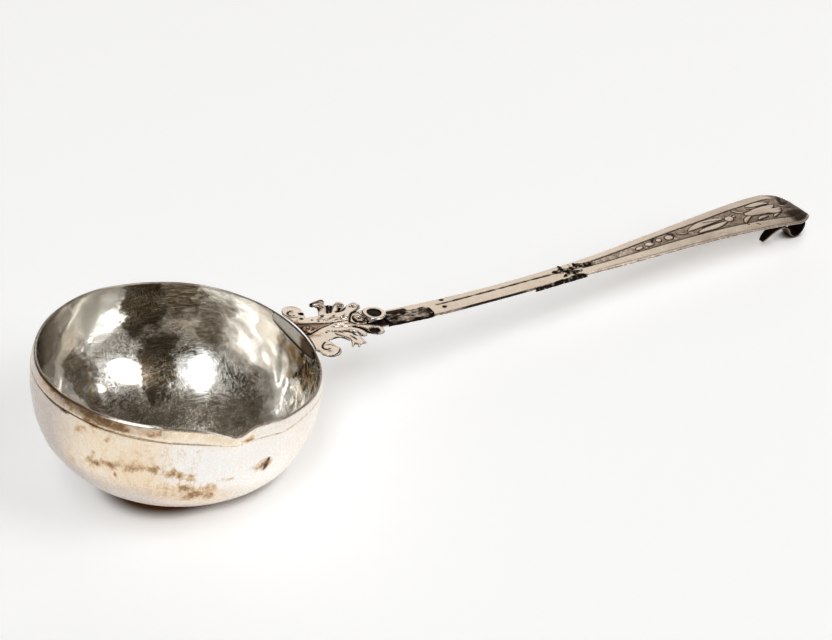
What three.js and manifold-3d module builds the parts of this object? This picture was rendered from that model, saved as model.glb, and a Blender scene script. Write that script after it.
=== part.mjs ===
// Baptismal ladle of wrought silver: a deep round bowl with a pouring lip, a cast acanthus
// bracket at its rim, and a flat handle that widens, folds over at its end and curls into a hook.
// Millimetres, +Z up. The ladle rests as on a table, on the flat worn on the bowl's underside
// and on the curl of the hook. The origin is the middle of that flat, and the handle runs along +X.

import * as THREE from 'three';
import { mergeVertices } from 'three/addons/utils/BufferGeometryUtils.js';
import Module from 'manifold-3d';

const wasm = await Module();
wasm.setup();

// Bowl
const rimDiameter = 90;
const bowlDepth = 43.7;
const wallThickness = 1.3;
const wallSwell = 1;
const rimDrawInDepth = 6;
const wallCurve = 3.04;
const bottomCurve = 2.4;
const bowlTilt = 12.6;
const restCut = 0.35;

// Incised line below the rim
const grooveDrop = 3.6;
const grooveWidth = 0.8;
const grooveDepth = 0.3;

// Pouring lip, its place counted in degrees round from the handle
const lipAngle = -93;
const lipReach = 2.6;
const lipHalfAngle = 6.5;
const lipDepth = 9;

// Hand-raised unevenness of the rim: where, how far outwards, and how wide
const rimWaves = [
  { angle: -3, shift: -0.7, spread: 17 },
  { angle: 58, shift: 0.8, spread: 20 },
  { angle: -122, shift: -2.3, spread: 17 },
];
const waveDepth = 15;

// Plate soldered inside the rim, behind the bracket, lower at its middle than at its ends
const plateSpan = 31;
const plateHeight = 5.2;
const plateEndHeight = 2.6;
const plateThickness = 0.8;
const plateDrop = 0.5;

// Cast bracket, from the rim to the middle of its eyelet
const bracketLength = 25.2;
const bracketWidth = 32.6;
const bracketThickness = 0.8;
const bracketRise = 1.3;
const bracketPitch = 3.8;
const voluteRadius = 4.2;
const reliefHeight = 0.8;
const recessDepth = 0.3;
const recessLength = 6;
const recessWidth = 5;
const rosetteRadius = 1.4;

// Eyelet ring at the end of the bracket
const eyeletDiameter = 8.2;
const eyeletHole = 4.2;
const eyeletThickness = 1.3;

// Rivet that fastens the bracket to the stem, next to the eyelet ring
const rivetGap = 0.4;
const rivetHeadDiameter = 2.6;
const rivetShankDiameter = 1.4;
const rivetHeadHeight = 0.7;

// Handle: a flat stem that flares into the engraved end
const handleReach = 251.5;
const handleEndHeight = 14.9;
const handleEndSlope = -0.17;
const stemWidth = 8;
const handleEndWidth = 24.6;
const handleThickness = 1.3;
const handleEndThickness = 0.9;
const edgeBevel = 0.25;
const flareStart = 135;
const flarePower = 1.3;
const jointPlace = 147;

// Pointed tip, bent down over its length
const tipLength = 16.8;
const tipBend = 38;
const tipBendPower = 1.6;
const tipEndWidth = 5;
const tipTaperPower = 1.3;

// Hook: a tapering strip soldered under the tip and curled twice
const hookLandStart = 6;
const hookLandEnd = 14;
const hookRootWidth = 7.6;
const hookEndWidth = 3.4;
const hookThickness = 1;
const foldRadius = 2.8;
const loopRadius = 3.8;
const loopTurn = 165;
const riseLength = 1.6;
const archRadius = 2;
const archTurn = 82;
const hookEndLength = 11;
const hookEndTurn = 24;

// Old repairs
const patchLength = 18.5;
const patchThickness = 0.5;
const patchWideReach = 2.8;
const patchEndReach = -0.5;
const solderLength = 17;
const solderThickness = 0.6;
const raggedness = 0.3;
const splintLength = 23;
const splintReach = 1;
const splintThickness = 0.5;

// Space between pieces that lie against each other
const seatGap = 0.3;

const rimRadius = rimDiameter / 2;
const rivetReach = bracketLength - eyeletDiameter / 2 - rivetHeadDiameter / 2 - rivetGap;
const radians = THREE.MathUtils.degToRad;

// Helpers for solids

// Closed mesh as a solid that can be cut and joined.
function toSolid(geometry) {
  const bare = geometry.clone();
  bare.deleteAttribute('normal');
  bare.deleteAttribute('uv');
  const merged = mergeVertices(bare, 1e-4);
  const corners = merged.index.array;
  const kept = [];
  for (let i = 0; i < corners.length; i += 3) {
    const [a, b, c] = [corners[i], corners[i + 1], corners[i + 2]];
    if (a !== b && b !== c && c !== a) {
      kept.push(a, b, c);
    }
  }
  const vertProperties = new Float32Array(merged.attributes.position.array);
  const solid = new wasm.Manifold(new wasm.Mesh({ numProp: 3, vertProperties, triVerts: new Uint32Array(kept) }));
  if (solid.volume() > 0) {
    return solid;
  }
  for (let i = 0; i < kept.length; i += 3) {
    [kept[i], kept[i + 1]] = [kept[i + 1], kept[i]];
  }
  return new wasm.Manifold(new wasm.Mesh({ numProp: 3, vertProperties, triVerts: new Uint32Array(kept) }));
}

function toGeometry(solid) {
  const mesh = solid.getMesh();
  const geometry = new THREE.BufferGeometry();
  geometry.setAttribute('position', new THREE.BufferAttribute(mesh.vertProperties, 3));
  geometry.setIndex(new THREE.BufferAttribute(mesh.triVerts, 1));
  geometry.computeVertexNormals();
  return geometry;
}

// Closed skin over a row of rings that all have the same number of points.
function loft(rings) {
  const count = rings[0].length;
  const positions = rings.flat().flatMap((point) => [point.x, point.y, point.z]);
  const faces = [];
  for (let i = 0; i + 1 < rings.length; i++) {
    for (let j = 0; j < count; j++) {
      const a = i * count + j;
      const b = i * count + (j + 1) % count;
      faces.push(a, b, b + count, a, b + count, a + count);
    }
  }
  const last = (rings.length - 1) * count;
  for (const [a, b, c] of capFaces(rings[0])) {
    faces.push(a, c, b);
  }
  for (const [a, b, c] of capFaces(rings[rings.length - 1])) {
    faces.push(last + a, last + b, last + c);
  }
  const geometry = new THREE.BufferGeometry();
  geometry.setAttribute('position', new THREE.Float32BufferAttribute(positions, 3));
  geometry.setIndex(faces);
  return toGeometry(toSolid(geometry));
}

// Triangles that close one ring, found in the ring's own plane and wound as the ring is.
function capFaces(ring) {
  const across = ring[1].clone().sub(ring[0]).normalize();
  const normal = new THREE.Vector3();
  for (let i = 0; i < ring.length; i++) {
    normal.add(ring[i].clone().cross(ring[(i + 1) % ring.length]));
  }
  const up = normal.normalize().cross(across);
  const flat = ring.map((point) => new THREE.Vector2(point.dot(across), point.dot(up)));
  return THREE.ShapeUtils.triangulateShape(flat, []);
}

// Solid of revolution about Z. The profile holds (radius, height) points and ends on the axis
// or where it began.
function turned(profile, segments) {
  return new THREE.LatheGeometry(profile, segments).rotateX(Math.PI / 2);
}

function cylinder(radius, bottom, top, segments) {
  const profile = [[0, bottom], [radius, bottom], [radius, top], [0, top]];
  return turned(profile.map(([r, z]) => new THREE.Vector2(r, z)), segments);
}

// Bowl, in its own frame: rim plane at z = 0, axis upright, handle towards +x

const bowlFrame = placeBowl();

function outerRadius(depth) {
  const full = rimRadius + wallSwell;
  const curve = full * (1 - (depth / bowlDepth) ** wallCurve) ** (1 / bottomCurve);
  return curve - wallSwell * Math.max(0, 1 - depth / rimDrawInDepth) ** 2;
}

function innerRadius(depth) {
  const full = rimRadius + wallSwell - wallThickness;
  const share = Math.min(1, depth / (bowlDepth - wallThickness));
  const curve = full * (1 - share ** wallCurve) ** (1 / bottomCurve);
  return curve - wallSwell * Math.max(0, 1 - depth / rimDrawInDepth) ** 2;
}

// How far the wall stands out from a true circle at an angle in degrees round the axis.
function wallShift(angle, depth) {
  const away = (place) => THREE.MathUtils.euclideanModulo(angle - place + 180, 360) - 180;
  const fade = Math.exp(-((depth / waveDepth) ** 2));
  let shift = 0;
  for (const wave of rimWaves) {
    shift += fade * wave.shift * Math.exp(-((away(wave.angle) / wave.spread) ** 2));
  }
  const lipFade = Math.max(0, 1 - depth / lipDepth) ** 2;
  return shift + lipFade * lipReach * Math.exp(-((away(lipAngle) / lipHalfAngle) ** 2));
}

// Moves a turned wall's points out or in by the rim's unevenness and its lip.
function shapeWall(geometry) {
  const place = geometry.attributes.position;
  for (let i = 0; i < place.count; i++) {
    const [x, y, z] = [place.getX(i), place.getY(i), place.getZ(i)];
    const radius = Math.hypot(x, y);
    if (radius > 1) {
      const grown = 1 + wallShift(THREE.MathUtils.radToDeg(Math.atan2(y, x)), Math.max(0, -z)) / radius;
      place.setXY(i, x * grown, y * grown);
    }
  }
  return geometry;
}

// Point of the underside that the tilted bowl rests on, and the frame that puts it at the origin.
function placeBowl() {
  const tilt = radians(bowlTilt);
  let lowest = { reach: -Infinity };
  for (let i = 0; i <= 2000; i++) {
    const depth = bowlDepth * Math.sin((i / 2000) * Math.PI / 2);
    const reach = outerRadius(depth) * Math.sin(tilt) + depth * Math.cos(tilt);
    if (reach > lowest.reach) {
      lowest = { reach, radius: outerRadius(depth), depth };
    }
  }
  const rimX = lowest.depth * Math.sin(tilt) - lowest.radius * Math.cos(tilt);
  const frame = new THREE.Matrix4().makeRotationY(tilt);
  return frame.setPosition(rimX, 0, lowest.reach - restCut);
}

// Depths of a wall's profile points, closer together where the wall turns in.
function wallDepths(steps, depth) {
  return Array.from({ length: steps }, (_, i) => depth * Math.sin(((i + 1) / steps) * Math.PI / 2));
}

function outerProfile() {
  const line = [
    [grooveDrop - grooveWidth / 2, 0],
    [grooveDrop, grooveDepth],
    [grooveDrop + grooveWidth / 2, 0],
  ];
  const points = line.map(([depth, cut]) => new THREE.Vector2(outerRadius(depth) - cut, -depth));
  const below = wallDepths(18, bowlDepth).filter((depth) => depth > grooveDrop + grooveWidth);
  for (const depth of below) {
    points.push(new THREE.Vector2(outerRadius(depth), -depth));
  }
  return points;
}

function bowlGeometry() {
  const edge = wallThickness / 4;
  const inner = [rimDrawInDepth / 3, ...wallDepths(16, bowlDepth - wallThickness)];
  const profile = [new THREE.Vector2(0, wallThickness - bowlDepth)];
  for (const depth of inner.slice(0, -1).reverse()) {
    profile.push(new THREE.Vector2(innerRadius(depth), -depth));
  }
  profile.push(
    new THREE.Vector2(innerRadius(edge), -edge),
    new THREE.Vector2(innerRadius(0) + edge, 0),
    new THREE.Vector2(outerRadius(0) - edge, 0),
    new THREE.Vector2(outerRadius(edge), -edge),
    ...outerProfile(),
  );
  const shell = shapeWall(turned(profile, 72)).applyMatrix4(bowlFrame);
  const below = new THREE.BoxGeometry(4 * rimRadius, 4 * rimRadius, bowlDepth);
  below.translate(0, 0, -bowlDepth / 2);
  return toGeometry(toSolid(shell).subtract(toSolid(below)));
}

// Everything that the bowl fills or encloses, with the seat gap round it, in the bowl's frame.
function bowlRoom() {
  const top = 3 * bracketThickness + bracketRise;
  const depths = [0, ...wallDepths(10, bowlDepth)];
  const profile = [new THREE.Vector2(0, top), new THREE.Vector2(outerRadius(0) + seatGap, top)];
  for (const depth of depths.slice(0, -1)) {
    profile.push(new THREE.Vector2(outerRadius(depth) + seatGap, -depth));
  }
  profile.push(new THREE.Vector2(0, -bowlDepth - seatGap));
  return toSolid(shapeWall(turned(profile, 72)));
}

// Plate inside the rim: a strip that follows the inner wall.
function innerPlateGeometry() {
  const halfAngle = THREE.MathUtils.radToDeg(Math.asin(plateSpan / 2 / rimRadius));
  const steps = 12;
  const rings = [];
  for (let i = 0; i <= steps; i++) {
    const share = 2 * i / steps - 1;
    const angle = halfAngle * share;
    const height = plateHeight - (plateHeight - plateEndHeight) * share ** 2;
    const depths = [plateDrop, plateDrop + height / 2, plateDrop + height];
    const at = (depth, inwards) => {
      const radius = innerRadius(depth) + wallShift(angle, depth) - seatGap - inwards;
      const [c, s] = [Math.cos(radians(angle)), Math.sin(radians(angle))];
      return new THREE.Vector3(radius * c, radius * s, -depth);
    };
    const back = depths.map((depth) => at(depth, 0));
    const front = depths.map((depth) => at(depth, plateThickness)).reverse();
    rings.push([...back, ...front]);
  }
  return loft(rings);
}

// Bracket, in its own frame: x outwards from the rim, y across, top of the plate at z = 0

const bracketFrame = new THREE.Matrix4()
  .makeTranslation(rimRadius, 0, bracketRise)
  .multiply(new THREE.Matrix4().makeRotationY(radians(-bracketPitch)));

// Point of the leaf outline: shares of the bracket's length and of half its width.
function leafPoint(along, across) {
  return new THREE.Vector2(along * bracketLength, across * bracketWidth / 2);
}

function arcPoints(centre, radius, from, to, steps) {
  const clockwise = to < from;
  const arc = new THREE.EllipseCurve(centre.x, centre.y, radius, radius, radians(from), radians(to), clockwise);
  return arc.getPoints(steps);
}

function leafEdge(points, steps) {
  return new THREE.SplineCurve(points.map(([along, across]) => leafPoint(along, across))).getPoints(steps);
}

// One half of the outline, from the bowl's wall round the volute and over three lobes to the eyelet.
function bracketHalf() {
  const volute = leafPoint(0.085, 1).setY(bracketWidth / 2 - voluteRadius);
  const gap = [[0.235, 0.56], [0.16, 0.49], [0.22, 0.41], [0.33, 0.39], [0.4, 0.5], [0.4, 0.66]];
  const backLobe = [[0.36, 0.8], [0.43, 0.9], [0.53, 0.86], [0.6, 0.72], [0.61, 0.58]];
  const middleLobe = [[0.65, 0.69], [0.72, 0.7], [0.77, 0.6], [0.74, 0.48]];
  const frontLobe = [[0.81, 0.58], [0.91, 0.62], [0.99, 0.56], [1.01, 0.42], [0.95, 0.31]];
  const eyelet = new THREE.Vector2(bracketLength, 0);
  const eyeletStart = THREE.MathUtils.radToDeg(Math.atan2(
    leafPoint(0.95, 0.31).y,
    leafPoint(0.95, 0.31).x - bracketLength,
  ));
  return [
    new THREE.Vector2(-2 * voluteRadius, volute.y),
    ...arcPoints(volute, voluteRadius, 135, -20, 12),
    ...leafEdge(gap, 14),
    ...leafEdge(backLobe, 10),
    ...leafEdge(middleLobe, 7),
    ...leafEdge(frontLobe, 9),
    ...arcPoints(eyelet, eyeletDiameter / 2, eyeletStart - 6, 0, 7),
  ];
}

function mirrored(half) {
  const other = half.slice(0, -1).reverse();
  return [...half, ...other.map((point) => new THREE.Vector2(point.x, -point.y))];
}

// Low domed boss on the plate's top face.
function boss(along, across, length, width, turn, height) {
  const place = leafPoint(along, across);
  const dome = new THREE.SphereGeometry(1, 14, 8);
  dome.rotateX(Math.PI / 2).scale(length / 2, width / 2, height);
  dome.rotateZ(radians(turn)).translate(place.x, place.y, 0);
  return dome;
}

// Relief of one half: the volute's eye, and a rib along each lobe.
function reliefBosses(side) {
  const eye = boss(0.085, 0.7 * side, 1.3 * voluteRadius, 1.3 * voluteRadius, 0, reliefHeight);
  const ribs = [
    [0.46, 0.6, 9, 2.6, 72, 0.8],
    [0.63, 0.46, 9, 2.2, 52, 0.6],
    [0.84, 0.4, 8, 2.6, 38, 0.8],
  ];
  return [eye, ...ribs.map(([along, across, length, width, turn, share]) => boss(
    along,
    across * side,
    length,
    width,
    turn * side,
    share * reliefHeight,
  ))];
}

// Three-cornered recess at the rim, with its point towards the handle.
function recess() {
  const corners = [[-3, -recessWidth / 2], [recessLength, 0], [-3, recessWidth / 2]];
  const shape = new THREE.Shape(corners.map(([x, y]) => new THREE.Vector2(x, y)));
  const pocket = new THREE.ExtrudeGeometry(shape, { depth: 2 * reliefHeight, bevelEnabled: false });
  return pocket.translate(0, 0, -recessDepth);
}

function rosette() {
  const top = reliefHeight / 2;
  const profile = [[0, -recessDepth - seatGap], [1, -recessDepth - seatGap], [1, 0], [0.8, top], [0.35, top], [0, 0]];
  const points = profile.map(([share, z]) => new THREE.Vector2(share * rosetteRadius, z));
  return turned(points, 16).translate(rosetteRadius + seatGap, 0, 0);
}

function bracketGeometry() {
  const shape = new THREE.Shape(mirrored(bracketHalf()));
  const plate = new THREE.ExtrudeGeometry(shape, { depth: bracketThickness, bevelEnabled: false });
  let solid = toSolid(plate.translate(0, 0, -bracketThickness));
  for (const dome of [...reliefBosses(1), ...reliefBosses(-1)]) {
    solid = solid.add(toSolid(dome));
  }
  const under = new THREE.BoxGeometry(4 * bracketLength, 2 * bracketWidth, 2 * reliefHeight);
  const rivetHole = cylinder(rivetShankDiameter / 2 + seatGap, -2 * bracketThickness, 0, 20);
  const rivetSeat = cylinder(rivetHeadDiameter / 2 + seatGap, -recessDepth, 2 * reliefHeight, 20);
  const eyeletSeat = cylinder(eyeletDiameter / 2 + seatGap, 0, 2 * reliefHeight, 32);
  const eyeletBore = cylinder(eyeletHole / 2, -2 * bracketThickness, reliefHeight, 24);
  const cuts = [
    under.translate(0, 0, -bracketThickness - reliefHeight),
    recess(),
    rivetHole.translate(rivetReach, 0, 0),
    rivetSeat.translate(rivetReach, 0, 0),
    eyeletSeat.translate(bracketLength, 0, 0),
    eyeletBore.translate(bracketLength, 0, 0),
  ];
  for (const cut of cuts) {
    solid = solid.subtract(toSolid(cut));
  }
  solid = solid.add(toSolid(rosette()));
  const intoBowl = toSolid(toGeometry(solid).applyMatrix4(bracketFrame));
  return toGeometry(intoBowl.subtract(bowlRoom()));
}

// Flat ring on the bracket's end, rounded inside and outside.
function eyeletGeometry() {
  const middle = (eyeletDiameter + eyeletHole) / 4;
  const half = (eyeletDiameter - eyeletHole) / 4;
  const profile = [];
  for (let i = 0; i <= 10; i++) {
    const turn = (i / 10) * 2 * Math.PI + Math.PI / 4;
    const bulgeOut = (value) => Math.sign(value) * Math.abs(value) ** 0.7;
    profile.push(new THREE.Vector2(
      middle + half * bulgeOut(Math.cos(turn)),
      seatGap + eyeletThickness / 2 * (1 + bulgeOut(Math.sin(turn))),
    ));
  }
  profile[10].copy(profile[0]);
  return toGeometry(toSolid(turned(profile, 36)));
}

// Rivet: dimpled head in its seat, shank through bracket and stem, and the closed tail below.
function rivetGeometry() {
  const [head, shank] = [rivetHeadDiameter / 2, rivetShankDiameter / 2];
  const seat = seatGap - recessDepth;
  const stemUnder = -bracketThickness - seatGap - handleThickness;
  const profile = [
    [0, seat + rivetHeadHeight - 0.2],
    [0.35 * head, seat + rivetHeadHeight],
    [0.75 * head, seat + 0.9 * rivetHeadHeight],
    [head, seat + 0.4 * rivetHeadHeight],
    [head, seat],
    [shank, seat],
    [shank, stemUnder - seatGap],
    [1.5 * shank, stemUnder - seatGap],
    [1.3 * shank, stemUnder - seatGap - 0.5],
    [0, stemUnder - seatGap - 0.6],
  ];
  return toGeometry(toSolid(turned(profile.map(([r, z]) => new THREE.Vector2(r, z)), 20)));
}

// Handle: its top line, in the upright plane through the bowl's axis

const bracketToWorld = bowlFrame.clone().multiply(bracketFrame);

// The stem runs straight under the bracket, and then follows one long curve to the handle's end.
const stemTop = -bracketThickness - seatGap;
const stemRimGap = 1.2 + seatGap;
const straightStart = new THREE.Vector3(stemRimGap, 0, stemTop).applyMatrix4(bracketToWorld);
const straightEnd = new THREE.Vector3(bracketLength + eyeletDiameter / 2, 0, stemTop).applyMatrix4(bracketToWorld);
const straightSlope = (straightEnd.z - straightStart.z) / (straightEnd.x - straightStart.x);

function makeHandleCurve() {
  const start = new THREE.Vector2(straightEnd.x, straightEnd.z);
  const end = new THREE.Vector2(handleReach, handleEndHeight);
  const span = end.x - start.x;
  const startPull = 0.44 * span;
  const endPull = 0.25 * span;
  return new THREE.CubicBezierCurve(
    start,
    new THREE.Vector2(start.x + startPull, start.y + startPull * straightSlope),
    new THREE.Vector2(end.x - endPull, end.y - endPull * handleEndSlope),
    end,
  );
}

const handleCurve = makeHandleCurve();

// Place on the handle's top line at a distance along X, with its heading in radians.
function handleAt(x) {
  if (x <= straightEnd.x) {
    const z = straightEnd.z + (x - straightEnd.x) * straightSlope;
    return { x, z, heading: Math.atan(straightSlope) };
  }
  let [low, high] = [0, 1];
  for (let i = 0; i < 40; i++) {
    const middle = (low + high) / 2;
    if (handleCurve.getPoint(middle).x < x) {
      low = middle;
    } else {
      high = middle;
    }
  }
  const point = handleCurve.getPoint(low);
  const tangent = handleCurve.getTangent(low);
  return { x: point.x, z: point.y, heading: Math.atan2(tangent.y, tangent.x) };
}

function handleHalfWidth(x) {
  const share = Math.max(0, (x - flareStart) / (handleReach - flareStart));
  return stemWidth / 2 + (handleEndWidth - stemWidth) / 2 * share ** flarePower;
}

// The plate is hammered thinner where it widens.
function handleThicknessAt(x) {
  const share = Math.min(1, Math.max(0, (x - flareStart) / (handleReach - flareStart)));
  return handleThickness + (handleEndThickness - handleThickness) * share;
}

// Ring of the handle's section at a distance along X.
function handleRing(station) {
  return sectionRing(station, flatSection(handleHalfWidth(station.x), handleThicknessAt(station.x)));
}

function stationsBetween(from, to, steps) {
  return Array.from({ length: steps + 1 }, (_, i) => handleAt(from + (to - from) * i / steps));
}

// The pointed tip beyond the handle's widest place, as far as a distance along its own top line.
function tipStations(from, to, steps) {
  const corner = handleAt(handleReach);
  const count = 60;
  const place = { x: corner.x, z: corner.z, heading: corner.heading, run: 0 };
  const line = [{ ...place }];
  for (let i = 0; i < count; i++) {
    const middle = (i + 0.5) / count;
    const heading = corner.heading - radians(tipBend) * middle ** tipBendPower;
    place.x += Math.cos(heading) * tipLength / count;
    place.z += Math.sin(heading) * tipLength / count;
    place.run += tipLength / count;
    place.heading = corner.heading - radians(tipBend) * ((i + 1) / count) ** tipBendPower;
    line.push({ ...place });
  }
  return Array.from({ length: steps + 1 }, (_, i) => {
    const run = from + (to - from) * i / steps;
    return line[Math.round(run / tipLength * count)];
  });
}

function tipHalfWidth(run) {
  return tipEndWidth / 2 + (handleEndWidth - tipEndWidth) / 2 * (1 - (run / tipLength) ** tipTaperPower);
}

// Follows arcs and lines on from a station. Each leg is a length and a turn in degrees.
function followLegs(start, legs) {
  const stations = [];
  let { x, z, heading } = start;
  for (const { length, turn, steps } of legs) {
    for (let i = 0; i < steps; i++) {
      const step = radians(turn) / steps;
      const chord = step === 0 ? length / steps : 2 * (length / steps / step) * Math.sin(step / 2);
      heading += step / 2;
      x += Math.cos(heading) * chord;
      z += Math.sin(heading) * chord;
      heading += step / 2;
      stations.push({ x, z, heading });
    }
  }
  return stations;
}

// Line of the hook's outer face: a land along the tip's underside, a fold down, a loop that
// rests on the table, a rise, an arch and a drooping end. The drop after the fold is as long
// as it takes for the loop to touch the table.
function hookStations() {
  const under = handleEndThickness + seatGap;
  const land = tipStations(hookLandStart, hookLandEnd, 4).map(({ x, z, heading }) => ({
    x: x + Math.sin(heading) * under,
    z: z - Math.cos(heading) * under,
    heading,
  }));
  const landEnd = land[land.length - 1];
  const foldTurn = 90 + THREE.MathUtils.radToDeg(landEnd.heading);
  const fold = { length: foldRadius * radians(foldTurn), turn: -foldTurn, steps: 6 };
  const foldEnd = followLegs(landEnd, [fold]).pop();
  const drop = { length: foldEnd.z - loopRadius, turn: 0, steps: 1 };
  const loop = { length: loopRadius * radians(loopTurn), turn: -loopTurn, steps: 16 };
  const rise = { length: riseLength, turn: 0, steps: 1 };
  const arch = { length: archRadius * radians(archTurn), turn: archTurn, steps: 7 };
  const end = { length: hookEndLength, turn: hookEndTurn, steps: 5 };
  return [...land, ...followLegs(landEnd, [fold, drop, loop, rise, arch, end])];
}

// Ring of a section: points of (across, above the top line) put square to the heading.
function sectionRing(station, points) {
  const up = new THREE.Vector3(-Math.sin(station.heading), 0, Math.cos(station.heading));
  return points.map(([across, above]) => new THREE.Vector3(
    station.x + up.x * above,
    across,
    station.z + up.z * above,
  ));
}

function flatSection(halfWidth, thickness) {
  return [
    [-halfWidth, -thickness],
    [halfWidth, -thickness],
    [halfWidth, -edgeBevel],
    [halfWidth - edgeBevel, 0],
    [edgeBevel - halfWidth, 0],
    [-halfWidth, -edgeBevel],
  ];
}

function stemGeometry() {
  const rings = stationsBetween(straightStart.x, jointPlace - seatGap / 2, 26).map(handleRing);
  const hole = cylinder(rivetShankDiameter / 2 + seatGap, stemTop - 2 * handleThickness, 0, 20);
  hole.translate(rivetReach, 0, 0).applyMatrix4(bracketToWorld);
  return toGeometry(toSolid(loft(rings)).subtract(toSolid(hole)));
}

function upperHandleGeometry() {
  const rings = stationsBetween(jointPlace + seatGap / 2, handleReach, 22).map(handleRing);
  for (const station of tipStations(0, tipLength, 12).slice(1)) {
    rings.push(sectionRing(station, flatSection(tipHalfWidth(station.run), handleEndThickness)));
  }
  return loft(rings);
}

function hookGeometry() {
  const stations = hookStations();
  const rings = stations.map((station, i) => {
    const width = hookRootWidth - (hookRootWidth - hookEndWidth) * i / (stations.length - 1);
    return sectionRing(station, flatSection(width / 2, hookThickness));
  });
  return loft(rings);
}

// Repairs

// Section of a sheet bent over the handle's near edge: how far in it reaches, and its thickness.
function bentSection(station, innerReach, thickness) {
  const inside = handleHalfWidth(station.x) + seatGap;
  const under = -handleThicknessAt(station.x);
  return [
    [-inside - thickness, under],
    [-inside, under],
    [-inside, seatGap],
    [innerReach, seatGap],
    [innerReach, seatGap + thickness],
    [-inside, seatGap + thickness],
    [-inside - thickness, seatGap],
  ];
}

// Patch over the stem next to the bracket, and down its near edge; it narrows away from the bowl.
function patchGeometry() {
  const bracketEnd = new THREE.Vector3(bracketLength + eyeletDiameter / 2, 0, 0).applyMatrix4(bracketToWorld);
  const start = bracketEnd.x + 2 * seatGap;
  const steps = 8;
  const rings = stationsBetween(start, start + patchLength, steps).map((station, i) => {
    const innerReach = patchWideReach + (patchEndReach - patchWideReach) * i / steps;
    return sectionRing(station, bentSection(station, innerReach, patchThickness));
  });
  return loft(rings);
}

// Ragged run of solder over the joint between stem and engraved end. Its near side stays clear of
// the strip on the near edge.
function solderGeometry() {
  const steps = 12;
  const stations = stationsBetween(jointPlace - solderLength / 2, jointPlace + solderLength / 2, steps);
  const rings = stations.map((station, i) => {
    const half = handleHalfWidth(station.x);
    const swell = 0.55 + 0.45 * Math.sin((i / steps) * Math.PI);
    const far = 0.9 * half * swell - raggedness * (1 + Math.sin(2.6 * i));
    const near = (splintReach + 2 * seatGap - half) * swell + raggedness * (1 + Math.cos(1.9 * i));
    const top = seatGap + solderThickness * swell;
    return sectionRing(station, [[near, seatGap], [far, seatGap], [far - 0.4, top], [near + 0.4, top]]);
  });
  return loft(rings);
}

// Strip of solder over the near edge, across the same joint.
function splintGeometry() {
  const start = jointPlace - 0.75 * splintLength;
  const rings = stationsBetween(start, start + splintLength, 8).map((station) => {
    const innerReach = splintReach - handleHalfWidth(station.x);
    return sectionRing(station, bentSection(station, innerReach, splintThickness));
  });
  return loft(rings);
}

// Assembly

const silver = { color: 0xd8cfc6, roughness: 0.28, metalness: 1 };
const polishedSilver = { color: 0xe2dcd0, roughness: 0.14, metalness: 1 };
const castSilver = { color: 0xdccfc0, roughness: 0.38, metalness: 1 };
const oldSolder = { color: 0x5b4e3e, roughness: 0.6, metalness: 0.8 };

function piece(name, geometry, finish) {
  const mesh = new THREE.Mesh(geometry, new THREE.MeshStandardMaterial(finish));
  mesh.name = name;
  return mesh;
}

const ladle = new THREE.Group();
ladle.add(
  piece('bowl', bowlGeometry(), polishedSilver),
  piece('lower_stem', stemGeometry(), silver),
  piece('upper_handle', upperHandleGeometry(), silver),
  piece('hook', hookGeometry(), silver),
  piece('repair_patch', patchGeometry(), oldSolder),
  piece('solder_joint', solderGeometry(), oldSolder),
  piece('edge_splint', splintGeometry(), oldSolder),
);

// What is fitted to the rim turns with the bowl.
const rimFittings = new THREE.Group();
rimFittings.applyMatrix4(bowlFrame);
rimFittings.add(
  piece('inner_plate', innerPlateGeometry(), polishedSilver),
  piece('bracket', bracketGeometry(), castSilver),
);
ladle.add(rimFittings);

// The eyelet and the rivet lie square to the bracket.
const bracketFittings = new THREE.Group();
bracketFittings.applyMatrix4(bracketFrame);
const eyelet = piece('eyelet_ring', eyeletGeometry(), castSilver);
eyelet.position.x = bracketLength;
const rivet = piece('bracket_rivet', rivetGeometry(), castSilver);
rivet.position.x = rivetReach;
bracketFittings.add(eyelet, rivet);
rimFittings.add(bracketFittings);

export default ladle;
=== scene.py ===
"""Looks of the baptismal ladle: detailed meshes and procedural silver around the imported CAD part."""

import math

import bpy
import numpy as np
from mathutils import Matrix


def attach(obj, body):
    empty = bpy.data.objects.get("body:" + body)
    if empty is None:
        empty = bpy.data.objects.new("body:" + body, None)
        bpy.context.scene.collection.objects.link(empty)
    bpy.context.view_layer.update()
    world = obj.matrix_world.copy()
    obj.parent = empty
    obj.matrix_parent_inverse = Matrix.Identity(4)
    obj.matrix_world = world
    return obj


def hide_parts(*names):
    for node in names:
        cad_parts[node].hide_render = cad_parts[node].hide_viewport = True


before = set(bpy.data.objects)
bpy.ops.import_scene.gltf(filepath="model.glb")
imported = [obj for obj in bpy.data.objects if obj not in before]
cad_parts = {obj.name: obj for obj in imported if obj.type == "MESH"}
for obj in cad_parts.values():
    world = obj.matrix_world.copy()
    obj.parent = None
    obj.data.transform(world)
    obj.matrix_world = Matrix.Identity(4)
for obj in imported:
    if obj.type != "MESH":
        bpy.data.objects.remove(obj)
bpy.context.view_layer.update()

MM = 0.001

# The part's frame.

TILT = math.radians(12.6)
RIM_CENTRE = np.array([-8.71, 0.0, 45.07])
RIM_RADIUS = 45.0
BOWL_DEPTH = 43.7
WALL = 1.3
# The wall turns in by SWELL over its top SWELL_DEPTH, and closes below along a fuller curve than a circle.
SWELL = 1.0
SWELL_DEPTH = 6.0
FULLNESS = 3.04
ROUNDNESS = 2.4
# How much thinner the wall is at the rim than below it.
RIM_WEAR = 0.55
BRACKET_RISE = 1.3
BRACKET_PITCH = math.radians(3.8)


def from_rim(x, y, z):
    """Points of the bowl's own frame (rim plane at 0, handle towards +x) in the part's frame, in mm."""
    return np.stack(
        [
            RIM_CENTRE[0] + x * math.cos(TILT) + z * math.sin(TILT),
            RIM_CENTRE[1] + y,
            RIM_CENTRE[2] - x * math.sin(TILT) + z * math.cos(TILT),
        ],
        -1,
    )


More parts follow.
